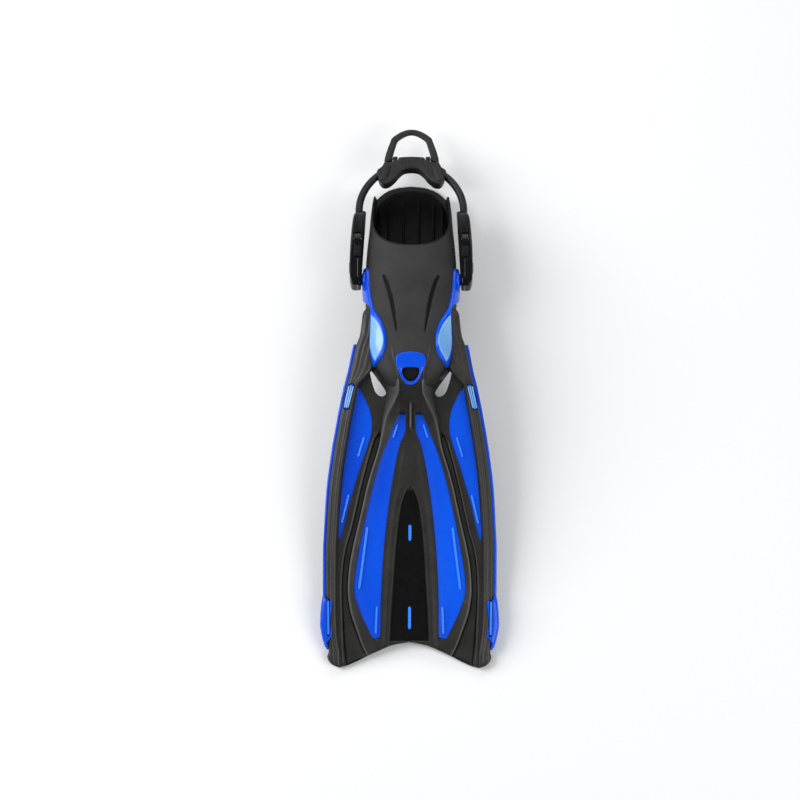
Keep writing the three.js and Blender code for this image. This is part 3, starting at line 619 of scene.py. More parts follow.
def skin_section(s):
    """Half of the skin's cross-section on row s, from the middle to under the rail: (x, y, z)."""
    rail = lambda y: edge(y) - BLUE_EDGE - RAIL_WIDTH + 3
    wide = lambda a, b: (lambda y: a(y) if b(y) > a(y) else (a(y) + b(y)) / 2)
    lines = []

    def add(line, height):
        x, y = on_row(s, line)
        lines.append((x, y, rounded_end(s, height(x, y))))

    def between(a, b, share):
        return lambda y: a(y) + (b(y) - a(y)) * share

    zero = lambda y: 0.0
    hollow = lambda y: hollow_half(y) if y < -121 else 0.5
    win_in, win_out = wide(window_inner, window_outer), window_outer
    plate_z = lambda x, y: centre_z(y)
    dip = lambda x, y: centre_z(y) - (centre_z(y) - 0.2) * inner_window(y)
    pad_rise = lambda y: 1.5 * ease((-54 - y) / 40)
    shut = lambda y: 1 - ease((-119 - y) / 8)
    dark = lambda x, y: spine(x, y) + shut(y) * pad_rise(y) - 2.6 * hollow_depth(y)

    def spine(x, y):
        crest = ease((-15 - y) / 5) * ease((y + 53) / 8) * 3.4
        return plate_z(x, y) + crest * ease((2.3 - x) / 1.1)

    for share in (0, 0.35, 0.7, 0.96):
        add(between(zero, hollow, share), dark)
    for offset, lift in ((0.6, 0.1), (1.1, 0.6), (1.9, 0.9), (2.8, 1.0)):
        height = lambda x, y: spine(x, y) + max(lift, shut(y)) * pad_rise(y)
        add(lambda y: min(hollow(y) + offset, win_in(y) - 0.6 * (4 - offset)), height)
    for share, lift in ((0.45, 0.95), (0.6, 0.6), (0.75, 0.15), (0.97, 0)):
        add(between(hollow, win_in, share), lambda x, y: spine(x, y) + lift * pad_rise(y))
    add(between(win_in, win_out, 0.03), dip)
    add(between(win_in, win_out, 0.97), dip)
    rise = lambda share: (lambda x, y: plate_z(x, y) + (ridge_z(y) - plate_z(x, y)) * share)
    add(win_out, rise(0.1))
    for share, lift in ((0.25, 0.28), (0.5, 0.55), (0.75, 0.84), (0.92, 0.97), (1.0, 1.0)):
        add(between(win_out, ridge_x, share), rise(lift))
    bed = lambda x, y: SKIN - 4.6 * channel_depth(y)
    foot = lambda y: max(channel_inner(y), ridge_x(y) + 1.2) if y < -54 else neck_foot(y)
    far = lambda y: max(channel_outer(y), foot(y) + 1.5)
    add(lambda y: ridge_x(y) + 0.7, rise(0.9))
    add(foot, lambda x, y: bed(x, y) + 1.0 * channel_depth(y))
    for share in (0.12, 0.5, 0.88):
        add(between(foot, far, share), bed)
    add(far, lambda x, y: bed(x, y) + 2.5 * channel_depth(y))
    add(lambda y: far(y) + 0.8, lambda x, y: SKIN + 1.4 * channel_depth(y))
    add(lambda y: far(y) + 1.8, lambda x, y: SKIN + 1.4 * channel_depth(y))
    add(lambda y: far(y) + 3.4, lambda x, y: SKIN)
    floor = lambda x, y: SKIN - (SKIN - 0.8) * side_window(y)
    side_in = lambda y: clamp(side_inner(y), far(y) + 3.8, rail(y) - 2)
    side_out = lambda y: clamp(side_outer(y), side_in(y) + 0.2, rail(y) - 1)
    add(side_in, lambda x, y: SKIN)
    add(between(side_in, side_out, 0.04), floor)
    add(between(side_in, side_out, 0.96), floor)
    add(side_out, lambda x, y: SKIN)
    add(rail, lambda x, y: SKIN)
    return lines


def blade_rows(pitch):
    return steps(BLADE_TOP, BLADE_END, round((BLADE_TOP - BLADE_END) / pitch))


def blade_skin(name, up, pitch):
    """One face of the blade's rubber skin, closed underneath."""
    rings = []
    for s in blade_rows(pitch):
        half = skin_section(s)
        if up < 0:
            half = [(x, y, min(z, 6.5)) for x, y, z in half]
        else:
            half = [(x, y, z - 5.5 * in_bezel(x, y)) for x, y, z in half]
        over = [(-x, y, z * up) for x, y, z in reversed(half[1:])] + [(x, y, z * up) for x, y, z in half]
        rings.append(over + [(x, y, 0.02 * up) for x, y, _ in reversed(over)])
    skin = lofted(name, rings, BLADE, LOOKS["rubber"], caps="strips")
    for _, side in SIDES:
        cut_vent(skin, side)
    return sharp_edges(paint_ridge_highlights(skin), 30)


def paint_ridge_highlights(obj):
    """Marks where the blade's rubber gets a painted highlight: the crests of its ridges, the outer lips of
    its channels and the spine down the neck.
    """
    back = BLADE.inverted()

    def painted_highlight(place):
        x, y, z = back @ place
        x = abs(x)
        crest = ease(1.3 - abs(x - ridge_x(y)) / 1.1) * ease(abs(z) / 4)
        lip = ease(1.2 - abs(x - channel_outer(y) - 1.3) / 0.9) * ease((-58 - y) / 8) * 0.5
        spine = ease(1.4 - x / 1.2) * ease((-17 - y) / 4) * ease((y + 52) / 6)
        return clamp(max(crest, lip, spine)) * ease((y + 344) / 8)

    # painted highlight, stored on each vertex for the rubber to read
    paint(obj, "ridge_highlight", painted_highlight)
    return obj


VENT = [(50, 22), (40.5, 10.5), (31.2, -3), (31.2, -8), (36.4, -10), (43, -5.2), (47.8, 8)]


def cut_vent(obj, side):
    """Opens the drain vent beside the neck, right through."""
    outline = [(x * side, y) for x, y in catmull(VENT, 6, closed=True)]
    carve(obj, prism("vent_cutter", outline, -40, 40, BLADE, LOOKS["rubber"]))


def window_panel(name, side, up, inner, outer, low, high, dish):
    """A blue panel of the blade's core, seen through a window of the skin."""
    rows = []
    for s in steps(high, low, round((high - low) / 3)):
        section = []
        for share in (0, 0.03, 0.12, 0.3, 0.5, 0.7, 0.88, 0.97, 1):
            x, y = on_row(s, lambda y: inner(y) + (outer(y) - inner(y)) * share)
            width = outer(y) - inner(y)
            hollow = min(dish, width * 0.05) * math.sin(math.pi * share)
            z = 1.8 - hollow
            section.append((x * side, y, z * up))
        rows.append(section)
    return lofted(name, rows, BLADE, LOOKS["blue"], closed=False, caps=False)


def stripe(name, side, start, end, width, base, height, material):
    """A long low rib with tapered ends, lying on a panel."""
    (x0, y0), (x1, y1) = start, end
    length = math.hypot(x1 - x0, y1 - y0)
    across = Vector(((y1 - y0) / length, -(x1 - x0) / length))
    rings = []
    for t in [0, 0.004, 0.012, 0.03] + steps(0.05, 0.95, 40) + [0.97, 0.988, 0.996, 1]:
        from_end = min(t, 1 - t) * length + 0.12
        swell = rounded(from_end / (width * 0.75))
        ring = []
        for a in steps(0, math.pi, 12):
            u = signed_power(math.cos(a), 0.6) * width / 2 * swell
            z = base + math.sin(a) ** 0.8 * height * swell
            ring.append(((x0 + (x1 - x0) * t + across.x * u) * side, y0 + (y1 - y0) * t + across.y * u, z))
        rings.append(ring)
    return lofted(name, rings, BLADE, material)


STRIPES = {
    "neck_stripe": ((16, -44), (21.4, -61), 2.9),
    "long_stripe": ((52.5, -171), (62.4, -248), 3.2),
    "tip_stripe": ((40.3, -269), (41.7, -303), 3.0),
    "arm_stripe": ((57, -60), (64.6, -85), 2.9),
    "side_stripe": ((75.6, -131), (84.4, -167), 3.0),
}


def build_panels():
    core = []
    windows = (
        ("inner", window_inner, window_outer, -318, -28.6, 1.1),
        ("outer", side_inner, side_outer, -189, 3, 0.5),
    )
    for word, side in SIDES:
        for up, face in ((1, "upper"), (-1, "lower")):
            for kind, *shape in windows:
                core.append(window_panel(f"{word}_{kind}_panel_{face}", side, up, *shape))
        for name, (start, end, width) in STRIPES.items():
            # ribs in the lighter blue: painted highlight
            core.append(stripe(f"{word}_{name}", side, start, end, width, 1.0, 2.2, LOOKS["bright"]))
        core.append(blue_edge(f"{word}_blue_edge", side))
    # the centre pills in the lighter blue: painted highlight
    for name, start, end in (("upper_pill", -168, -188), ("lower_pill", -269, -297)):
        core.append(stripe(f"centre_{name}", 1, (0, start), (0, end), 3.8, 1.2, 1.6, LOOKS["bright"]))
    for piece in core:
        finished(piece, "fin", "blade_blue", "blade_core")


def blue_edge(name, side):
    """The rim of the core that shows along the outside of a rail."""
    rings = []
    for y in steps(54, -322, 110):
        out = edge(y) - 0.1
        grow = ease((54 - y) / 16)
        width = BLUE_EDGE * grow + 0.8
        ring = []
        for a in steps(-math.pi / 2, math.pi / 2, 8):
            ring.append(((out - 1.6 + 1.6 * math.cos(a)) * side, y, 2.4 * math.sin(a)))
        ring += [((out - 1.6 - width - 2) * side, y, 2.4), ((out - 1.6 - width - 2) * side, y, -2.4)]
        rings.append(ring)
    return lofted(name, rings, BLADE, LOOKS["blue"])


def flex_channel(name, side, up):
    """The dark flexible bed between the power rib and the outer panel."""
    rows = []
    for s in steps(-53, BLADE_END + 1.2, 120):
        section = []
        for share in (0, 0.06, 0.25, 0.5, 0.75, 0.94, 1):
            line = lambda y: channel_inner(y) + 0.8 + (channel_outer(y) - channel_inner(y) - 1.2) * share
            x, y = on_row(s, line)
            z = -0.2 - 0.9 * math.sin(math.pi * share) * channel_depth(y) + 2.6 * (1 - channel_depth(y))
            section.append((x * side, y, rounded_end(s, z + 1.2) * up - 1.2 * up))
        rows.append(section)
    return lofted(name, rows, BLADE, LOOKS["deep"], closed=False, caps=False)


def centre_panel():
    """The dark recessed panel down the middle of the blade."""
    rows = []
    for y in steps(-122, -311.5, 70):
        half = hollow_half(y) - 0.2
        rows.append([(half * t, y, 1.7 - 0.3 * (1 - t * t)) for t in (-1, -0.9, -0.5, 0, 0.5, 0.9, 1)])
    return lofted("centre_panel_face", rows, BLADE, LOOKS["deep"], closed=False, caps=False)


RAIL_SECTION = (  # share of the width, drop from the top
    (0.0, 99), (0.01, 4.2), (0.05, 2.4), (0.12, 1.0), (0.2, 0.25), (0.3, 0.0), (0.42, 0.1), (0.46, 0.7),
    (0.5, 0.8), (0.54, 0.2), (0.64, 0.1), (0.68, 0.8), (0.72, 0.9), (0.76, 0.3), (0.84, 0.6), (0.92, 1.6),
    (0.97, 3.0), (1.0, 5.0), (1.0, 99),
)
arm_spread = profile((4, 0), (26, 13), (98, 16))
upper_height = profile(
    (-345, 3.4), (-335, 5.4), (-318, 6.4), (-257, 6.6), (-200, 8.5), (-60, 11), (20, 12),
    (80, 8.4), (98, 4.5),
)
lower_height = profile((-345, 3.6), (-330, 6), (-257, 8), (-140, 16), (-20, 27), (50, 18), (85, 10), (98, 5))


def pocket_point(x, y, z):
    """A point of the blade frame in the pocket frame."""
    return x, y * math.cos(FOLD) - z * math.sin(FOLD), y * math.sin(FOLD) + z * math.cos(FOLD)


def pocket_reach(v, h, grow=0.0):
    """Half width of the foot pocket's outside at this place along the sole and this height."""
    width = pocket_half(v) + grow
    if h < WAIST:
        drop = clamp((WAIST - h) / 26)
        return width * (1 - drop**5) ** 0.2
    rise = clamp((h - WAIST) / (pocket_top(v) + grow - WAIST))
    return width * (1 - rise**2.5) ** 0.4


def rail(name, side, up, height):
    rings = []
    for y in steps(98, BLADE_END + 0.6, 170):
        outer = edge(y) - BLUE_EDGE - 1.1 * ease((y + 322) / 30)
        if y < TIP[1] + 4:
            arc = TIP[0] + math.sqrt(max(TIP[2] ** 2 - min(y - TIP[1], 0) ** 2, 0.2))
            outer = outer + (arc - outer) * ease((TIP[1] + 4 - y) / 8)
        round_end = 1 - math.sqrt(1 - clamp((y - 88) / 10.2) ** 2)
        outer -= 5.0 * round_end
        inner = min(edge(y) - BLUE_EDGE - RAIL_WIDTH - arm_spread(y), outer - 1)
        top = height(y) * (1 - 0.6 * round_end)
        ring = []
        for share, drop in RAIL_SECTION:
            x = inner + (outer - inner) * share
            z = up * max(top - drop, 0.3)
            _, v, h = pocket_point(x, y, z)
            if v > -12:
                x = max(x, min(pocket_reach(v, h, 1.2), outer))
            ring.append((x * side, y, z))
        rings.append(ring)
    return sharp_edges(lofted(name, rings, BLADE, LOOKS["rail"]), 50)


def rail_window(name, side):
    """The blue window in the top of a rail, with three ribs painted with a highlight."""
    near = profile((6, 68.0), (-16, 73.8), (-27, 76.2))
    far = profile((6, 76.6), (-17, 82.6), (-27, 83.0))
    made = []
    for part, rim, lift, look in (("rim", 0.0, 0.5, "deep"), ("glass", 1.1, 0.8, "blue")):
        rows = []
        for y in steps(6, -27, 44):
            from_end = min(6 - y, y + 27) - rim
            tuck = 2.4 * (1 - rounded(from_end / 2.8))
            a, b = near(y) + rim + tuck, far(y) - rim - tuck
            row = []
            for t in (0, 0.04, 0.12, 0.3, 0.5, 0.7, 0.88, 0.96, 1):
                fall = ease(min(t, 1 - t) / 0.05) * ease((from_end + 0.3) / 0.8)
                row.append(((a + (b - a) * t) * side, y, upper_height(y) - 1.6 + (1.6 + lift) * fall))
            rows.append(row)
        made.append(lofted(f"{name}_{part}", rows, BLADE, LOOKS[look], closed=False, caps=False))
    for word, share in (("inner", 0.2), ("middle", 0.5), ("outer", 0.8)):
        start, end = 3.2 - 2.2 * abs(share - 0.5), -24.5 + 2.0 * abs(share - 0.5)
        line = [(near(y) + (far(y) - near(y)) * share, y) for y in (start, end)]
        base = upper_height(start) + 0.5
        # ribs in near-white blue: painted highlight
        made.append(stripe(f"{name}_{word}_rib", side, *line, 1.7, base, 1.2, LOOKS["pale"]))
    return made


def gusset(name, side):
    """The web between the foot pocket and a rail, around the drain vent."""
    rings = []
    for y in steps(11, 31, 24):
        _, v, h = pocket_point(0, y, 2)
        near = pocket_reach(v, h) - 1.5
        far = edge(y) - BLUE_EDGE - RAIL_WIDTH - arm_spread(y) + 3
        far = max(far, near + 1)
        top = []
        for t in steps(0, 1, 14):
            top.append(((near + (far - near) * t) * side, y, SKIN + 6 * (1 - t) ** 3))
        rings.append(top + [(x, y, -SKIN) for x, y, _ in reversed(top)])
    web = lofted(name, rings, BLADE, LOOKS["rubber"])
    cut_vent(web, side)
    return sharp_edges(web, 40)


def tip_guard(name, side):
    """The blue guard wrapped over the outside of a blade tip."""
    outer = profile(
        (-320, 104), (-312, 106.6), (-305, 108.3), (-290, 110.4), (-275, 109.8), (-262, 108.4), (-256, 107.2),
    )
    rings = []
    for y in steps(-256, -320, 44):
        out = outer(y)
        swell = ease((-256 - y) / 6) * ease((y + 320) / 9)
        lip = out - 3.0 - 10.4 * ease((-258 - y) / 5) * ease((y + 318) / 16)
        top = upper_height(y) + 1.5 * swell
        ring = [
            (lip, top - 1.2), (lip + 0.5, top - 0.25), (lip + 1.4, top), (out - 4, top),
            (out - 1.6, top - 1.0), (out - 0.3, top - 3.4), (out, top - 6),
            (out - 0.4, -2.5), (out - 1.6, -5.0), (out - 3, -5.4),
            (out - 3.4, -3), (out - 3.4, top - 4), (out - 4.4, top - 2.6), (lip + 0.4, top - 2.4),
        ]
        rings.append([(x * side, y, z) for x, z in ring])
    return sharp_edges(lofted(name, rings, BLADE, LOOKS["blue"]), 40)


def build_blade():
    finished(blade_skin("blade_skin_top", 1, 1.8), "fin", "blade_rubber", "blade_skin_upper", "neck_fairing")
    finished(blade_skin("blade_skin_bottom", -1, 3.6), "fin", "blade_rubber", "blade_skin_lower")
    finished(centre_panel(), "fin", "dark_rubber", "centre_panel")
    build_panels()
    for word, side in SIDES:
        for face, up in (("upper", 1), ("lower", -1)):
            bed = flex_channel(f"{word}_channel_{face}", side, up)
            finished(bed, "fin", "dark_rubber", f"{word}_flex_channel")
        halves = (("top", "upper", 1, upper_height), ("bottom", "lower", -1, lower_height))
        for face, node, up, height in halves:
            half = rail(f"{word}_rail_{face}", side, up, height)
            finished(half, "fin", "blade_rubber", f"{word}_{node}_rail")
        finished(tip_guard(f"{word}_tip_cap", side), "fin", "blade_blue", f"{word}_tip_guard")
        slot = stripe(f"{word}_guard_slot", side, (100.2, -259.5), (99.6, -307), 5.4, 7.3, 1.0, LOOKS["deep"])
        finished(slot, "fin", "dark_rubber")
        # the guard's rib in the lighter blue: painted highlight
        rib = stripe(f"{word}_guard_rib", side, (100.4, -262), (99.9, -304), 2.7, 7.5, 2.0, LOOKS["bright"])
        finished(rib, "fin", "blade_blue")
        rim, *glass = rail_window(f"{word}_rail_window", side)
        finished(rim, "fin", "dark_rubber")
        for piece in glass:
            finished(piece, "fin", "blade_blue")
        finished(gusset(f"{word}_vent_web", side), "fin", "blade_rubber")


# ---------------------------------------------------------------- foot pocket

TOE_END = -12
WALL = 4
LIP = 2.4  # the wall thins towards the mouth
FLOOR_ANGLE = math.asin(((WAIST - SOLE_TOP) / 26) ** 2.5)  # where the wall meets the sole plate
mouth_v = profile(
    (0, 263.4), (3.5, 263), (10, 261), (21, 257), (28.5, 248), (37.5, 225), (50, 200), (60, 183.6),
    (70, 168), (76.2, 158.6), (90, 153),
)
groove_line = profile((60, 16.6), (69, 17.4), (106, 23.3), (130, 29.8), (149, 38.4), (164, 43))
groove_half = profile((66, 0), (76, 1.2), (106, 2.6), (128, 2.7), (140, 1.7), (149, 0.5), (166, 0.3))
nose_ridge = profile((4, 15.4), (22, 16.2), (37, 21), (60, 25))
# Half of the vent bezel's outline and of its hole, in the blade's plan.
BEZEL = [
    (0, 4.2), (5.8, 5.6), (10.4, 11.2), (14.3, 19), (18.0, 29.4), (18.8, 36.2), (17.2, 41.2),
    (12, 44), (0, 45.6),
]
BEZEL_HOLE = [(0, 8.6), (4.4, 9.8), (8.0, 13.4), (10.2, 18.2), (10.7, 22), (9.2, 25), (5, 26)]
BEZEL_CENTRE = (0, 19.5)


def blade_point(x, v, h):
    """A point of the pocket frame in the blade frame."""
    return x, v * math.cos(FOLD) + h * math.sin(FOLD), h * math.cos(FOLD) - v * math.sin(FOLD)


def radial(outline, centre, angle):
    """How far an outline is from its centre in one direction."""
    dx, dy = math.cos(angle), math.sin(angle)
    best = 0.0
    for (ax, ay), (bx, by) in zip(outline, outline[1:] + outline[:1]):
        ex, ey = bx - ax, by - ay
        det = ex * dy - ey * dx
        if abs(det) < 1e-9:
            continue
        px, py = ax - centre[0], ay - centre[1]
        along = (ex * py - ey * px) / det
        share = (dx * py - dy * px) / det
        if -1e-6 <= share <= 1 + 1e-6 and along > best:
            best = along
    return best


def shield(half):
    return catmull(half + [(-x, y) for x, y in reversed(half) if x > 0], 5, closed=True)


SHIELD = shield(BEZEL)


def in_bezel(x, y):
    """1 inside the vent bezel's outline, 0 outside it."""
    dx, dy = x - BEZEL_CENTRE[0], y - BEZEL_CENTRE[1]
    away = math.hypot(dx, dy)
    if away > 34:
        return 0.0
    return ease((radial(SHIELD, BEZEL_CENTRE, math.atan2(dy, dx)) - 1.4 - away) / 1.4)


def groove_depth(x, y):
    """0 to 1 in the grooves over the instep, which are also darkened with painted shade."""
    if not 64 < y < 166:
        return 0.0
    return ease((groove_half(y) + 0.45 - abs(abs(x) - groove_line(y))) / 0.9) * ease(groove_half(y) / 0.8)


def pocket_section(v, a, grow):
    """Point on the foot pocket's shape: v along the sole, a round it from the right-hand waist."""
    up = math.sin(a) > 0
    exponent = 2 / 2.5 if up else 2 / 5
    x = signed_power(math.cos(a), exponent) * (pocket_half(v) + grow)
    reach = pocket_top(v) + grow - WAIST if up else 26
    return x, WAIST + signed_power(math.sin(a), exponent) * reach


def slanted(share, a, grow, start):
    """Rings that lean from the toe end to the slanted mouth."""
    v = start + share * 200
    for _ in range(5):
        v = start + share * (mouth_v(pocket_section(v, a, grow)[1]) - start)
    x, h = pocket_section(v, a, grow)
    return x, v, h


def carved(x, v, h):
    """Grooves, nose ridges and the vent's opening, pressed into the pocket's outer surface, with the painted
    shade and highlight that go with them.
    """
    _, y, z = blade_point(x, v, h)
    if z < 0:
        return (x, v, h), 0.0
    hole = in_bezel(x, y)
    groove = groove_depth(x, y)
    ridge = ease(1 - abs(abs(x) - nose_ridge(y)) / 1.3) * ease((y - 4) / 8) * ease((60 - y) / 24)
    flank = ease((abs(x) - nose_ridge(y)) / 1.0) * ease((nose_ridge(y) + 9 - abs(x)) / 8)
    flank *= ease((y - 2) / 8) * ease((52 - y) / 24)
    sink = 1.5 * groove + 5.5 * hole - 1.2 * ridge + 0.8 * flank
    # painted shade in the grooves, the vent's opening and over the nose as it turns down to the neck; painted
    # highlight on the nose ridges
    shade = max(groove, hole) - 0.22 * ridge * (1 - hole) + 0.4 * ease((24 - y) / 24) * (1 - hole)
    return (x, v + sink * math.sin(FOLD), h - sink * math.cos(FOLD)), shade


def build_pocket():
    angles = [
        (1 - t) * -FLOOR_ANGLE + t * (math.pi + FLOOR_ANGLE) for t in steps(0, 1, 190)
    ]
    rings, dark = [], []
    for share in [0, 0.003, 0.008] + steps(0.016, 1, 220):
        toe = -6 * (1 - rounded(share / 0.03))
        row = [carved(*slanted(share, a, toe, TOE_END)) for a in angles]
        rings.append([p for p, _ in row])
        dark += [d for _, d in row]
    for turn in steps(0, math.pi, 8)[1:-1]:
        lip = [slanted(1, a, -LIP / 2 * (1 - math.cos(turn)), TOE_END) for a in angles]
        rings.append([(x, v + 1.0 * math.sin(turn), h + 0.4 * math.sin(turn)) for x, v, h in lip])
        # painted shade on the lip as it rolls inwards
        dark += [0.94 * ease(turn / 1.4)] * len(lip)
    for share in steps(1, 0.0, 70):
        wall = WALL + (LIP - WALL) * ease((share - 0.88) / 0.12)
        rings.append([slanted(share, a, -wall, TOE_END + WALL) for a in angles])
        # painted shade over the inside of the pocket
        dark += [0.94 * ease((1 - share) / 0.02)] * len(angles)
    pocket = lofted("pocket_body", rings, POCKET, LOOKS["pocket"], closed=False, caps=True)
    # the groove attribute carries the painted shade and highlight
    layer = pocket.data.attributes.new("groove", "FLOAT", "POINT")
    layer.data.foreach_set("value", dark)
    finished(pocket, "fin", "pocket_rubber", "foot_pocket")


def build_bezel():
    hole = shield(BEZEL_HOLE)
    angles = turns(96)
    outer = [radial(SHIELD, BEZEL_CENTRE, a) for a in angles]
    inner = [radial(hole, BEZEL_CENTRE, a) for a in angles]
    # share of the way from the outline to the hole, inset in millimetres, height
    section = (
        (0, 0, 26.2), (0, 0, 29.6), (0, 0.3, 30.6), (0, 0.9, 31.3), (0, 1.8, 31.6), (0.5, 0, 31.1),
        (1, -2.2, 30.6), (1, -1.5, 31.1), (1, -0.8, 31.3), (1, -0.2, 31.0), (1, 0.1, 30.2), (1, 0, 26.2),
    )
    rings = []
    for share, inset, height in section:
        ring = []
        for a, far, near in zip(angles, outer, inner):
            reach = far + (near - far) * share - inset
            x, y = BEZEL_CENTRE[0] + reach * math.cos(a), BEZEL_CENTRE[1] + reach * math.sin(a)
            ring.append((x, y, height))
        rings.append(ring)
    bezel = lofted("vent_bezel", rings, BLADE, LOOKS["blue"], loop=True)
    finished(smoothed(bezel), "fin", "blade_blue", "toe_vent_bezel")


def build_footbed():
    """The foot rests on a ribbed bed."""
    half = profile(
        (0, 22), (27, 39), (90, 49), (125, 51), (180, 48.6), (224, 44.8),
        (250, 41), (262, 34), (271, 22), (275, 8),
    )
    ribs = ((9.5, 262), (28, 262), (39, 246))  # distance from the middle, where the rib ends
    rows = []
    for v in steps(-4, 275, 150):
        width = half(v)
        row = []
        for t in steps(-1, 1, 130):
            x = width * t
            rib = max(ease(1.6 - abs(abs(x) - at) / 1.1) * ease((end - v) / 4) for at, end in ribs)
            rim = ease((abs(x) - width + 2.2) / 2.2)
            row.append((x, v, 6.1 + 1.6 * rib - 1.2 * rim - 1.5 * ease((v - 271) / 4)))
        rows.append(row)
    # the bed in near-black rubber: painted shade inside the pocket
    bed = lofted("ribbed_footbed", rows, POCKET, LOOKS["shaded_liner"], closed=False, caps=False)
    finished(bed, "fin", "pocket_rubber", "footbed")


def turned(name, section, centre, matrix, material):
    """A body of revolution about X: (x, radius) rings around a point (y, z)."""
    rings = []
    for x, radius in section:
        turn = [(radius * math.cos(a), radius * math.sin(a)) for a in turns(40)]
        rings.append([(x, centre[0] + y, centre[1] + z) for y, z in turn])
    return lofted(name, rings, matrix, material)


ARC = 30  # mm of arc per radian, to lay the pocket's side out flat


def on_pocket(v, arc, grow):
    """The point this far out from the pocket's side, straight off its surface."""
    def at(v, arc):
        x, h = pocket_section(v, arc / ARC, 0)
        return Vector((x, v, h))

    here = at(v, arc)
    out = (at(v + 0.3, arc) - at(v - 0.3, arc)).cross(at(v, arc + 0.1) - at(v, arc - 0.1)).normalized()
    return here + out * grow * math.copysign(1, out.x)


def plan_line(points):
    """Blade-plan points laid on the pocket's side, as (v, arc)."""
    found = []
    for x, y in points:
        v = y * math.cos(FOLD)
        for _ in range(30):
            a = math.acos(clamp(x / pocket_half(v)) ** 1.25)
            v += 0.5 * (y - blade_point(*on_pocket(v, a * ARC, 0))[1])
        found.append((v, a * ARC))
    return found


def side_line(points):
    """(v, height) points on the pocket's side, as (v, arc)."""
    found = []
    for v, h in points:
        if h > WAIST:
            a = math.asin(clamp((h - WAIST) / (pocket_top(v) - WAIST)) ** 1.25)
        else:
            a = -math.asin(clamp((WAIST - h) / 26) ** 2.5)
        found.append((v, a * ARC))
    return found


def side_patch(name, side, outline, low, high, roll, material, dish=0.0):
    """A panel on the pocket's side, from its (v, arc) outline, with a rolled edge."""
    count = len(outline)
    rim = [on_pocket(v, arc, 0) for v, arc in outline]
    turn = sum(a[0] * b[1] - b[0] * a[1] for a, b in zip(outline, outline[1:] + outline[:1]))
    verts, depth = list(outline), [0.0] * count

    def inside(v, arc):
        hit = False
        for (av, aa), (bv, ba) in zip(outline, outline[1:] + outline[:1]):
            if (aa > arc) != (ba > arc) and v < (bv - av) * (arc - aa) / (ba - aa) + av:
                hit = not hit
        return hit

    for inset in (0.25, 0.6, 1.1, 1.8, 2.6):
        for i in range(count):
            v, arc = outline[i]
            along = rim[(i + 1) % count] - rim[i - 1]
            step_v = on_pocket(v + 0.3, arc, 0) - rim[i]
            step_a = on_pocket(v, arc + 0.3, 0) - rim[i]
            out = step_v.cross(step_a).normalized()
            inward = out.cross(along).normalized() * math.copysign(1, turn) * inset
            spot = (
                v + 0.3 * inward.dot(step_v) / step_v.length_squared,
                arc + 0.3 * inward.dot(step_a) / step_a.length_squared,
            )
            there = on_pocket(*spot, 0)
            if inside(*spot) and min((corner - there).length for corner in rim) > inset * 0.8:
                verts.append(spot)
                depth.append(inset)
    low_v, high_v = min(p[0] for p in outline), max(p[0] for p in outline)
    low_a, high_a = min(p[1] for p in outline), max(p[1] for p in outline)
    for v in steps(low_v, high_v, round((high_v - low_v) / 1.4)):
        for arc in steps(low_a, high_a, round((high_a - low_a) / 1.4)):
            if inside(v, arc):
                spot = on_pocket(v, arc, 0)
                gap = min((corner - spot).length for corner in rim)
                if gap > 3.2:
                    verts.append((v, arc))
                    depth.append(gap)
    loop = [(i, (i + 1) % count) for i in range(count)]
    made, _, faces, sources, _, _ = delaunay_2d_cdt([Vector(p) for p in verts], loop, [], 1, 1e-5)
    points = []
    for place, source in zip(made, sources):
        d = depth[source[0]] if source else 0.0
        rise = rounded(d / roll)
        x, v, h = on_pocket(*place, low + (high - low) * rise - dish * ease((d - roll) / 6))
        points.append((x * side, v, h))
    return mesh_object(name, points, [tuple(f) for f in faces], POCKET, material)


def smooth_outline(points, pitch=0.9):
    """A closed curve through the points with evenly short segments."""
    out = []
    for p in catmull(points, 10, closed=True):
        if not out or math.dist(out[-1], p) > pitch:
            out.append(p[:2])
    return out


# The side frame and its upper facet, painted near white as a reflection of the light. TOP is the edge over
# the instep, in the blade's plan; LOW is the lower edge, as (place along the sole, height).
FRAME_TOP = [
    (42, 28), (35.6, 37), (31.2, 49), (30, 60), (31.4, 71), (35, 81.6), (41, 91.6), (45.4, 99),
    (48, 108), (50.4, 122), (51.6, 138),
]
FRAME_LOW = [
    (141, 46), (147.5, 38), (147, 29), (139, 23.5), (127, 22), (113, 24), (103, 30), (96.5, 39),
    (88, 44.6), (74, 41), (60, 34), (40, 24.5), (22, 16),
]
FACET_TOP = [
    (41.4, 34.4), (36, 43.5), (32.9, 52), (31.9, 60), (33.2, 68), (37.4, 78.5), (43.4, 87.6), (47.6, 92.4),
]
FACET_LOW = [(86, 47), (72, 43.6), (56, 38.4), (42, 33)]


def build_sides():
    frame_outline = smooth_outline(plan_line(FRAME_TOP) + side_line(FRAME_LOW))
    facet_outline = smooth_outline(plan_line(FACET_TOP) + side_line(FACET_LOW))
    for word, side in SIDES:
        panel = side_patch(f"{word}_side_panel", side, frame_outline, -0.4, 3.7, 2.4, LOOKS["blue"])
        finished(panel, "fin", "blade_blue", f"{word}_side_frame")
        # the frame's upper facet in near-white blue: painted reflection
        facet = side_patch(f"{word}_pale_facet", side, facet_outline, 2.8, 4.5, 1.0, LOOKS["pale"], 0.5)
        finished(facet, "fin", "pale_blue", f"{word}_side_inlay")
        section = (
            (56, 11), (58.6, 10.6), (60.0, 9.4), (60.8, 8), (61.2, 5.6), (62, 5), (70.2, 5), (70.5, 5.4),
            (70.6, 6.2), (71, 6.5), (72.3, 6.5), (72.9, 6.1), (73.1, 5.2), (72.7, 3.0), (72.5, 0.2),
        )
        section = [(x * side, radius) for x, radius in section]
        post = turned(f"{word}_strap_post", section, (POST_Y, POST_Z), POCKET, LOOKS["blue"])
        finished(post, "fin", "blade_blue", f"{word}_side_frame")


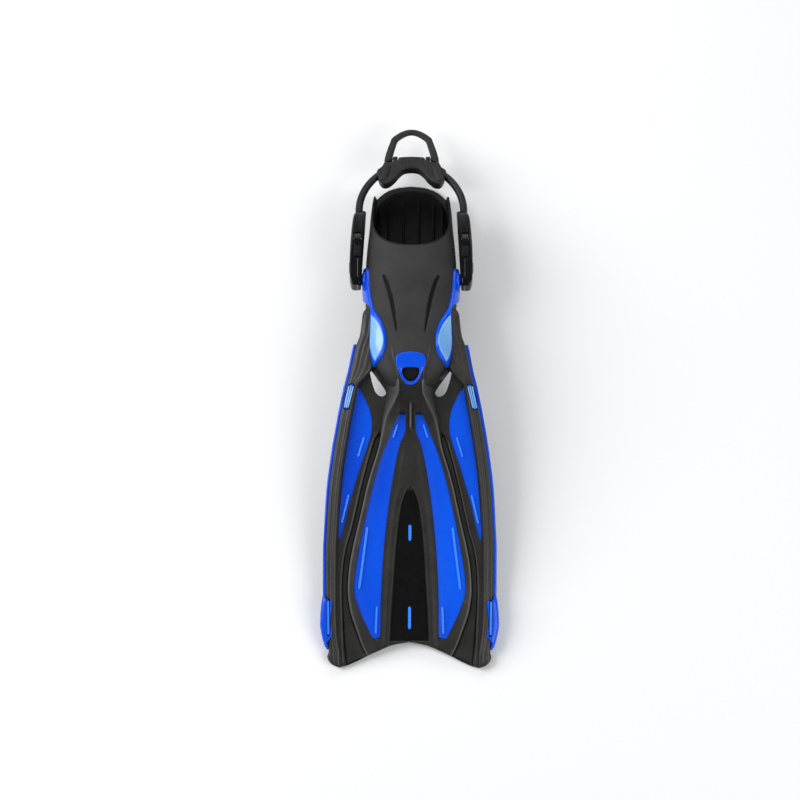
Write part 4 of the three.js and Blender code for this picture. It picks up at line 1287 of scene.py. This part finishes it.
# ---------------------------------------------------------------- buckles

BUCKLE_START, BUCKLE_END = -9.5, 91
outer_line = profile(
    (BUCKLE_START, 73), (0, 75.6), (20, 76), (40, 75.6), (62, 74.2), (80, 72.4), (87, 70.8),
    (BUCKLE_END, 67.9),
)
inner_line = profile((BUCKLE_START, 62.2), (BUCKLE_END, 56.4))
half_height = profile((BUCKLE_START, 10.4), (-5, 12.2), (0, 12.9), (40, 12.6), (86, 11), (BUCKLE_END, 9.2))
PARTING = 66.5
LEVER_X = (62.4, 70.8)
LEVER_SHAPE = [
    (27, 9), (27.2, 12.4), (29, 13.2), (38, 12.6), (48, 13.1), (56, 12.6), (59.2, 11.2), (59.4, 6), (57, 5.6),
    (53.6, 6.6), (46, 7.4), (34, 8.3),
]


def mirrored_copy(obj, name):
    """The same piece on the left side."""
    mesh = obj.data.copy()
    mesh.transform(Matrix.Scale(-1, 4, (1, 0, 0)))
    mesh.flip_normals()
    made = bpy.data.objects.new(name, mesh)
    bpy.context.scene.collection.objects.link(made)
    return made


def block(low, high):
    (x0, y0, z0), (x1, y1, z1) = low, high
    return prism("cutter", [(x0, y0), (x1, y0), (x1, y1), (x0, y1)], z0, z1, STRAP, LOOKS["deep"])


def bore(x0, x1, radius):
    """A cutter along the post's axis."""
    return turned("cutter", [(x0, radius), (x1, radius)], (0, 0), STRAP, LOOKS["deep"])


def shell_ring(y, near, far, high, chamfer):
    """Half of a buckle's section: flat at the parting, rounded where it is held."""
    away = 1 if far > near else -1
    corner = 2.4
    points = [(near, -high)]
    for a in steps(0, math.pi / 2, 5):
        points.append((far - away * corner * (1 - math.sin(a)), -high + corner * (1 - math.cos(a))))
    points += [
        (far + away * 0.25, -high * 0.35),
        (far + away * 0.25, high - chamfer - 2.0),
        (far, high - chamfer - 0.4),
        (far - away * 0.35, high - chamfer),
        (far - away * (chamfer - 0.35), high - 0.35),
        (far - away * (chamfer + 0.4), high),
        (near, high),
    ]
    return [(x, y, z) for x, z in points]


def buckle_shell(name, cover):
    """The outer half of a buckle when it is the cover, or else the inner half."""
    rings = []
    for y in steps(BUCKLE_START, BUCKLE_END, 66):
        close = min(y - BUCKLE_START, BUCKLE_END - y)
        tuck = 1.6 * (1 - rounded(close / 1.8))
        chamfer = 1.0 + 2.4 * ease((y - 8) / 70)
        if cover:
            ring = shell_ring(y, PARTING + 0.15, outer_line(y) - tuck, half_height(y) - tuck, chamfer)
        else:
            ring = shell_ring(y, PARTING - 0.15, inner_line(y) + tuck, half_height(y) - tuck, 1.6)
        rings.append(ring)
    shell = lofted(name, rings, STRAP, LOOKS["buckle"])
    cutters = [
        block((LEVER_X[0] - 0.3, 26.4, 5.9), (LEVER_X[1] + 0.3, 60.2, 20)),
        bore(50, 71, 5.25),
    ]
    if cover:
        cutters += [bore(PARTING, 73.4, 6.8), block((67.4, 10.2, -5.8), (90, 23.8, 5.8))]
    mouth = []
    for y, radius in ((70, 5.0), (86, 5.3), (90, 6.2), (94, 7.2)):
        mouth.append([(STRAP_X + radius * math.cos(a), y, radius * math.sin(a)) for a in turns(32)])
    cutters.append(lofted("cutter", mouth, STRAP, LOOKS["deep"]))
    for cutter in cutters:
        carve(shell, cutter)
    return sharp_edges(shell, 24)


def sweep_x(name, outline, x0, x1, roll, material):
    """A (y, z) outline swept along X with rolled ends."""
    cy = sum(p[0] for p in outline) / len(outline)
    cz = sum(p[1] for p in outline) / len(outline)
    size = max(math.dist(p, (cy, cz)) for p in outline)
    rings = []
    ends = [roll * share for share in (0, 0.15, 0.5, 1)]
    for x in [x0 + end for end in ends] + [x1 - end for end in reversed(ends)]:
        tuck = roll * (1 - rounded(min(x - x0, x1 - x) / roll))
        ring = []
        for y, z in outline:
            far = max(math.dist((y, z), (cy, cz)), 1e-6)
            k = (far - tuck) / far
            ring.append((x, cy + (y - cy) * k, cz + (z - cz) * k))
        rings.append(ring)
    return lofted(name, rings, STRAP, material)


def build_buckles():
    lever_outline = catmull(LEVER_SHAPE, 4, closed=True)
    dense = []  # the outline with enough points for the fine teeth where a thumb presses
    for (ay, az), (by, bz) in zip(lever_outline, lever_outline[1:] + lever_outline[:1]):
        count = 6 if az > 11.5 and bz > 11.5 else 1
        for k in range(count):
            y, z = ay + (by - ay) * k / count, az + (bz - az) * k / count
            lift = 0.28 * math.cos((y - 29) * 2 * math.pi / 2.4) if z > 11.5 and 28.5 < y < 41 else 0
            dense.append((y, z + lift))
    button = [(17 + y, z) for corner in rounded_corners(6.4, 5.4, 2.5, 5) for y, z in corner]
    grip = sweep_x("right_lever_grip", dense, *LEVER_X, 1.0, LOOKS["buckle"])
    cap = sweep_x("right_button_cap", button, 70.4, 76.9, 1.3, LOOKS["buckle"])
    right = (
        (buckle_shell("right_buckle_inner_shell", False), "buckle", "buckle_frame"),
        (buckle_shell("right_buckle_outer_shell", True), "buckle", "buckle_cover"),
        (sharp_edges(grip, 50), "lever", "strap_lever"),
        (cap, "button", "release_button"),
    )
    for piece, body, node in right:
        copy = mirrored_copy(piece, piece.name.replace("right", "left"))
        finished(piece, f"right_{body}", "buckle_plastic", f"right_{node}")
        finished(copy, f"left_{body}", "buckle_plastic", f"left_{node}")


# ---------------------------------------------------------------- strap, heel pad and pull loop

STRAP_X = 64.8
STRAP_TAIL = 50
STRAP_RADIUS = 4.8
ARCH_Y, ARCH_DEPTH = 94, 62
PAD_HALF = 9.5
PAD_ANGLE = math.radians(38.7)
LOOP_AXIS = 165


def arch_point(a, out):
    return (STRAP_X + out) * math.cos(a), ARCH_Y + (ARCH_DEPTH + out) * math.sin(a)


def walk(points, pitch):
    """Points along a polyline at an even pitch, with the distance walked."""
    out = [(points[0], 0.0)]
    total = 0.0
    for a, b in zip(points, points[1:]):
        length = math.dist(a, b)
        while total + length >= len(out) * pitch:
            t = (len(out) * pitch - total) / length
            out.append((tuple(p + (q - p) * t for p, q in zip(a, b)), len(out) * pitch))
        total += length
    return out


def build_strap():
    arch = [arch_point(a, 0) for a in steps(0, math.pi, 200)]
    line = [(STRAP_X, STRAP_TAIL), (STRAP_X, 84), *arch, (-STRAP_X, 84), (-STRAP_X, STRAP_TAIL)]
    path = walk(line, 0.6)
    rings = []
    for i, ((x, y), at) in enumerate(path):
        (ax, ay), (bx, by) = path[max(i - 1, 0)][0], path[min(i + 1, len(path) - 1)][0]
        length = math.dist((ax, ay), (bx, by))
        nx, ny = (by - ay) / length, -(bx - ax) / length
        tooth = ease(math.cos(at * 2 * math.pi / 3.0) * 1.4 + 0.5)
        ring = []
        for a in turns(28):
            u, w = math.cos(a), math.sin(a)
            inside = ease((-u - 0.45) / 0.25)
            radius = STRAP_RADIUS * (1 - 0.2 * inside * (1 - tooth) - 0.06 * inside)
            radius -= 0.35 * ease((0.16 - abs(u - 0.1)) / 0.12) * ease(w * 4)
            ring.append((x + nx * u * radius, y + ny * u * radius, w * radius))
        rings.append(ring)
    strap = lofted("toothed_strap", rings, STRAP, LOOKS["strap"])
    finished(sharp_edges(strap, 60), "strap", "strap_rubber", "heel_strap")


PAD_LOBE = [
    (41.6, 138.2), (39, 131.5), (34.7, 127.6), (28, 128.6), (21, 134.5), (15.5, 141.5), (9, 147), (0, 148.6),
]


def pad_inner(share):
    """The pad's heel side: 1 at its right end, 0 in the middle."""
    curve = walk(catmull(PAD_LOBE, 10), 0.25)
    index = round((1 - abs(share)) * (len(curve) - 1))
    x, y = curve[index][0]
    return math.copysign(x, share) if share else 0.0, y


def build_pad():
    rings = []
    for share in steps(-1, 1, 150):
        a = math.pi / 2 - share * PAD_ANGLE
        outer = Vector(arch_point(a, 6.6 - 1.5 * ease((abs(share) - 0.6) / 0.3)))
        inner = Vector(pad_inner(share))
        end = math.sqrt(max(1 - (clamp((abs(share) - 0.93) / 0.07)) ** 2, 0.0))
        middle = (outer + inner) / 2
        high = PAD_HALF * (0.62 + 0.38 * end)
        across = (outer - inner) * (0.72 + 0.28 * end)
        width = across.length
        direction = across / width
        ring = []
        corner = min(3.2, width * 0.3)
        first, *others = rounded_corners(width / 2, high, corner, 6)
        ring += first
        for k in steps(0, 1, 22)[1:-1]:
            u = (width / 2 - corner) * (1 - 2 * k)
            side = ease((abs(share) - 0.55) / 0.04) * ease((0.93 - abs(share)) / 0.04)
            side *= ease(k / 0.15) * ease((1 - k) / 0.15)
            ring.append((u, high - 0.35 * side))
        for points in others:
            ring += points
        rings.append([(middle.x + direction.x * u, middle.y + direction.y * u, w) for u, w in ring])
    pad = lofted("heel_cushion", rings, STRAP, LOOKS["grip"])
    finished(sharp_edges(pad, 55), "strap", "strap_rubber", "heel_pad")
    finished(sharp_edges(pad_panel(), 40), "strap", "strap_rubber", "heel_pad")
    for word, side in SIDES:
        finished(strap_leg(f"{word}_pad_leg", side), "strap", "strap_rubber", "heel_pad")
        lug = []
        for x, tuck in ((17.4, 0.9), (17.7, 0.3), (18.3, 0), (22.3, 0), (22.9, 0.3), (23.2, 0.9)):
            reach = 2.9 - tuck
            tip = [
                (LOOP_AXIS + reach * math.cos(a), reach * math.sin(a))
                for a in steps(-math.pi / 2, math.pi / 2, 12)
            ]
            root = 154.5 if x < 20 else 152.5
            lug.append([(x * side, y, z) for y, z in tip + [(root, reach), (root, -reach)]])
        finished(lofted(f"{word}_pad_lug", lug, STRAP, LOOKS["grip"]), "strap", "strap_rubber", "heel_pad")


def pad_panel():
    """The raised panel with upright ribs across the middle of the pad, up to the loop's pins."""
    rings = []
    for x in steps(-16.8, 16.8, 90):
        end = rounded((16.9 - abs(x)) / 2.4)
        rib = ease((math.cos(x * 2 * math.pi / 4.2) + 0.2) / 0.5) * ease((14.8 - abs(x)) / 0.8)
        top, near, far = 8.0 + 1.2 * end, 151.0, 162.2 + 2.6 * end - 0.004 * x * x
        ring = [(x, near, -5.0), (x, near, top - 1.2), (x, near + 0.8, top)]
        for t in steps(0, 1, 16):
            inside = ease(t / 0.08) * ease((1 - t) / 0.08)
            ring.append((x, near + 2.4 + (far - near - 4.4) * t, top + 0.7 * rib * inside))
        ring += [(x, far - 0.6, top - 0.5), (x, far, top - 1.8), (x, far, -5.0)]
        rings.append(ring)
    return lofted("pad_panel", rings, STRAP, LOOKS["grip"])


def strap_leg(name, side):
    """The raised leg that carries the pull loop's line down over the end of the pad."""
    line = catmull(
        [(28.6, 156.4, 4.6), (31.2, 150, 5.4), (34.2, 141, 6.0), (36.2, 133.6, 5.0), (36.6, 130.4, 2.6)], 10
    )
    rings = []
    for i, (x, y, half) in enumerate(line):
        before, after = line[max(i - 1, 0)], line[min(i + 1, len(line) - 1)]
        length = math.dist(before[:2], after[:2])
        nx, ny = (after[1] - before[1]) / length, -(after[0] - before[0]) / length
        rise = 2.1 * ease(i / 8) * ease((len(line) - 1 - i) / 10)
        ring = []
        for t in turns(24):
            u = signed_power(math.cos(t), 0.7) * half
            w = 8.2 + signed_power(math.sin(t), 0.7) * (0.6 + rise)
            ring.append(((x + nx * u) * side, y + ny * u, w))
        rings.append(ring)
    return lofted(name, rings, STRAP, LOOKS["grip"])


LOOP_OUTER = [
    (34.4, 157.6), (33.4, 166), (30.4, 177), (26.4, 188.4), (24.8, 192.4),
    (21, 196), (13.6, 200.8), (6, 203.8), (0, 204.5),
]
LOOP_INNER = [
    (24.2, 161.8), (23.2, 169), (20.8, 178), (18.4, 186), (17, 188.6), (14.2, 191.4), (9, 194.8), (4, 197),
    (0, 197.5),
]


def build_loop():
    outer, inner = catmull(LOOP_OUTER, 12), catmull(LOOP_INNER, 12)
    pairs = list(zip(outer, inner))
    pairs += [((-a[0], a[1]), (-b[0], b[1])) for a, b in reversed(pairs[:-1])]
    rings = []
    count = len(pairs)
    for i, (a, b) in enumerate(pairs):
        middle = ((a[0] + b[0]) / 2, (a[1] + b[1]) / 2)
        width = math.dist(a, b)
        ux, uy = (a[0] - b[0]) / width, (a[1] - b[1]) / width
        end = rounded(min(i, count - 1 - i) / 5)
        high = 4.0 * (0.7 + 0.3 * end) - 0.7 * ease((middle[1] - 172) / 12)
        half = width / 2 * (0.8 + 0.2 * end)
        ring = []
        for t in turns(28):
            u = signed_power(math.cos(t), 0.62) * half
            w = signed_power(math.sin(t), 0.62) * high
            ring.append((middle[0] + ux * u, middle[1] + uy * u, w))
        rings.append(ring)
    loop = lofted("pull_ring", rings, STRAP, LOOKS["grip"])
    finished(loop, "loop", "strap_rubber", "pull_loop")
    for word, side in SIDES:
        section = ((23.6, 3.6), (23.9, 4.2), (24.5, 4.4), (30.8, 4.4), (31.6, 4.1), (32, 3.4))
        section = [(x * side, radius) for x, radius in section]
        eye = turned(f"{word}_loop_knuckle", section, (LOOP_AXIS, 0), STRAP, LOOKS["grip"])
        finished(eye, "loop", "strap_rubber", "pull_loop")


# ---------------------------------------------------------------- CAD nodes that stay


def dress(node, look, width=0.0):
    obj = NODES[node]
    obj.data.materials.clear()
    obj.data.materials.append(LOOKS[look])
    if width:
        bevelled(obj, width)


def build_rest():
    for word, _ in SIDES:
        dress(f"{word}_loop_pin", "steel", 0.2)
        dress(f"{word}_lever_pin", "steel", 0.2)
        dress(f"{word}_lever_spring", "steel")
        dress(f"{word}_button_spring", "steel")
    dress("sole_plate", "sole", 0.8)
    dress("outsole", "tread", 1.2)


build_blade()
build_pocket()
build_bezel()
build_footbed()
build_sides()
build_buckles()
build_strap()
build_pad()
build_loop()
build_rest()

# ---------------------------------------------------------------- stage


FLOOR_HALF = 3000
SKY = (0.9, 0.95, 1, 1)
SKY_STRENGTH = 0.24
LIGHT_TARGET = Vector((0, 0, 0.05))
LIGHTS = (  # name, place, size (all in metres), watts
    ("key", (-1.9, 0.3, 1.6), (1.4, 2.2), 60),
    ("fill", (1.7, -1.1, 1.7), (1.5, 2.2), 36),
    ("back", (0.1, 1.9, 1.3), (1.8, 1.0), 16),
)
LENS = 300
SENSOR = 36
VIEW_WIDTH = 0.9865  # metres across the picture at the point aimed at
ELEVATION = math.radians(78.2)
ROLL = math.radians(0.27)
AIM = BLADE @ Vector((-5.1, -14.3, 0))


def build_stage():
    corners = [(x * FLOOR_HALF, y * FLOOR_HALF, 0) for x, y in ((-1, -1), (1, -1), (1, 1), (-1, 1))]
    paper = Look("floor", (0.88, 0.88, 0.88), 0.8)
    mesh_object("floor", corners, [(0, 1, 2, 3)], TO_ROW, paper.material)
    world = bpy.data.worlds.new("studio")
    world.use_nodes = True
    sky = world.node_tree.nodes["Background"]
    sky.inputs[0].default_value = SKY
    sky.inputs[1].default_value = SKY_STRENGTH
    bpy.context.scene.world = world
    bpy.context.scene.view_settings.view_transform = "Standard"


def build_lights():
    for name, place, (width, height), watts in LIGHTS:
        data = bpy.data.lights.new(name, "AREA")
        data.shape = "RECTANGLE"
        data.size, data.size_y = width, height
        data.energy = watts
        light = bpy.data.objects.new(name, data)
        light.location = place
        light.rotation_euler = (LIGHT_TARGET - Vector(place)).to_track_quat("-Z", "Y").to_euler()
        bpy.context.scene.collection.objects.link(light)


def build_camera():
    """A long lens high above the blade's tips, from the side that the picture was taken."""
    data = bpy.data.cameras.new("camera")
    data.lens = LENS
    data.sensor_width = SENSOR
    camera = bpy.data.objects.new("camera", data)
    distance = VIEW_WIDTH * LENS / SENSOR
    camera.location = AIM + Vector((0, -math.cos(ELEVATION), math.sin(ELEVATION))) * distance
    camera.rotation_euler = (math.pi / 2 - ELEVATION, 0, ROLL)
    bpy.context.scene.collection.objects.link(camera)
    bpy.context.scene.camera = camera


build_stage()
build_lights()
build_camera()
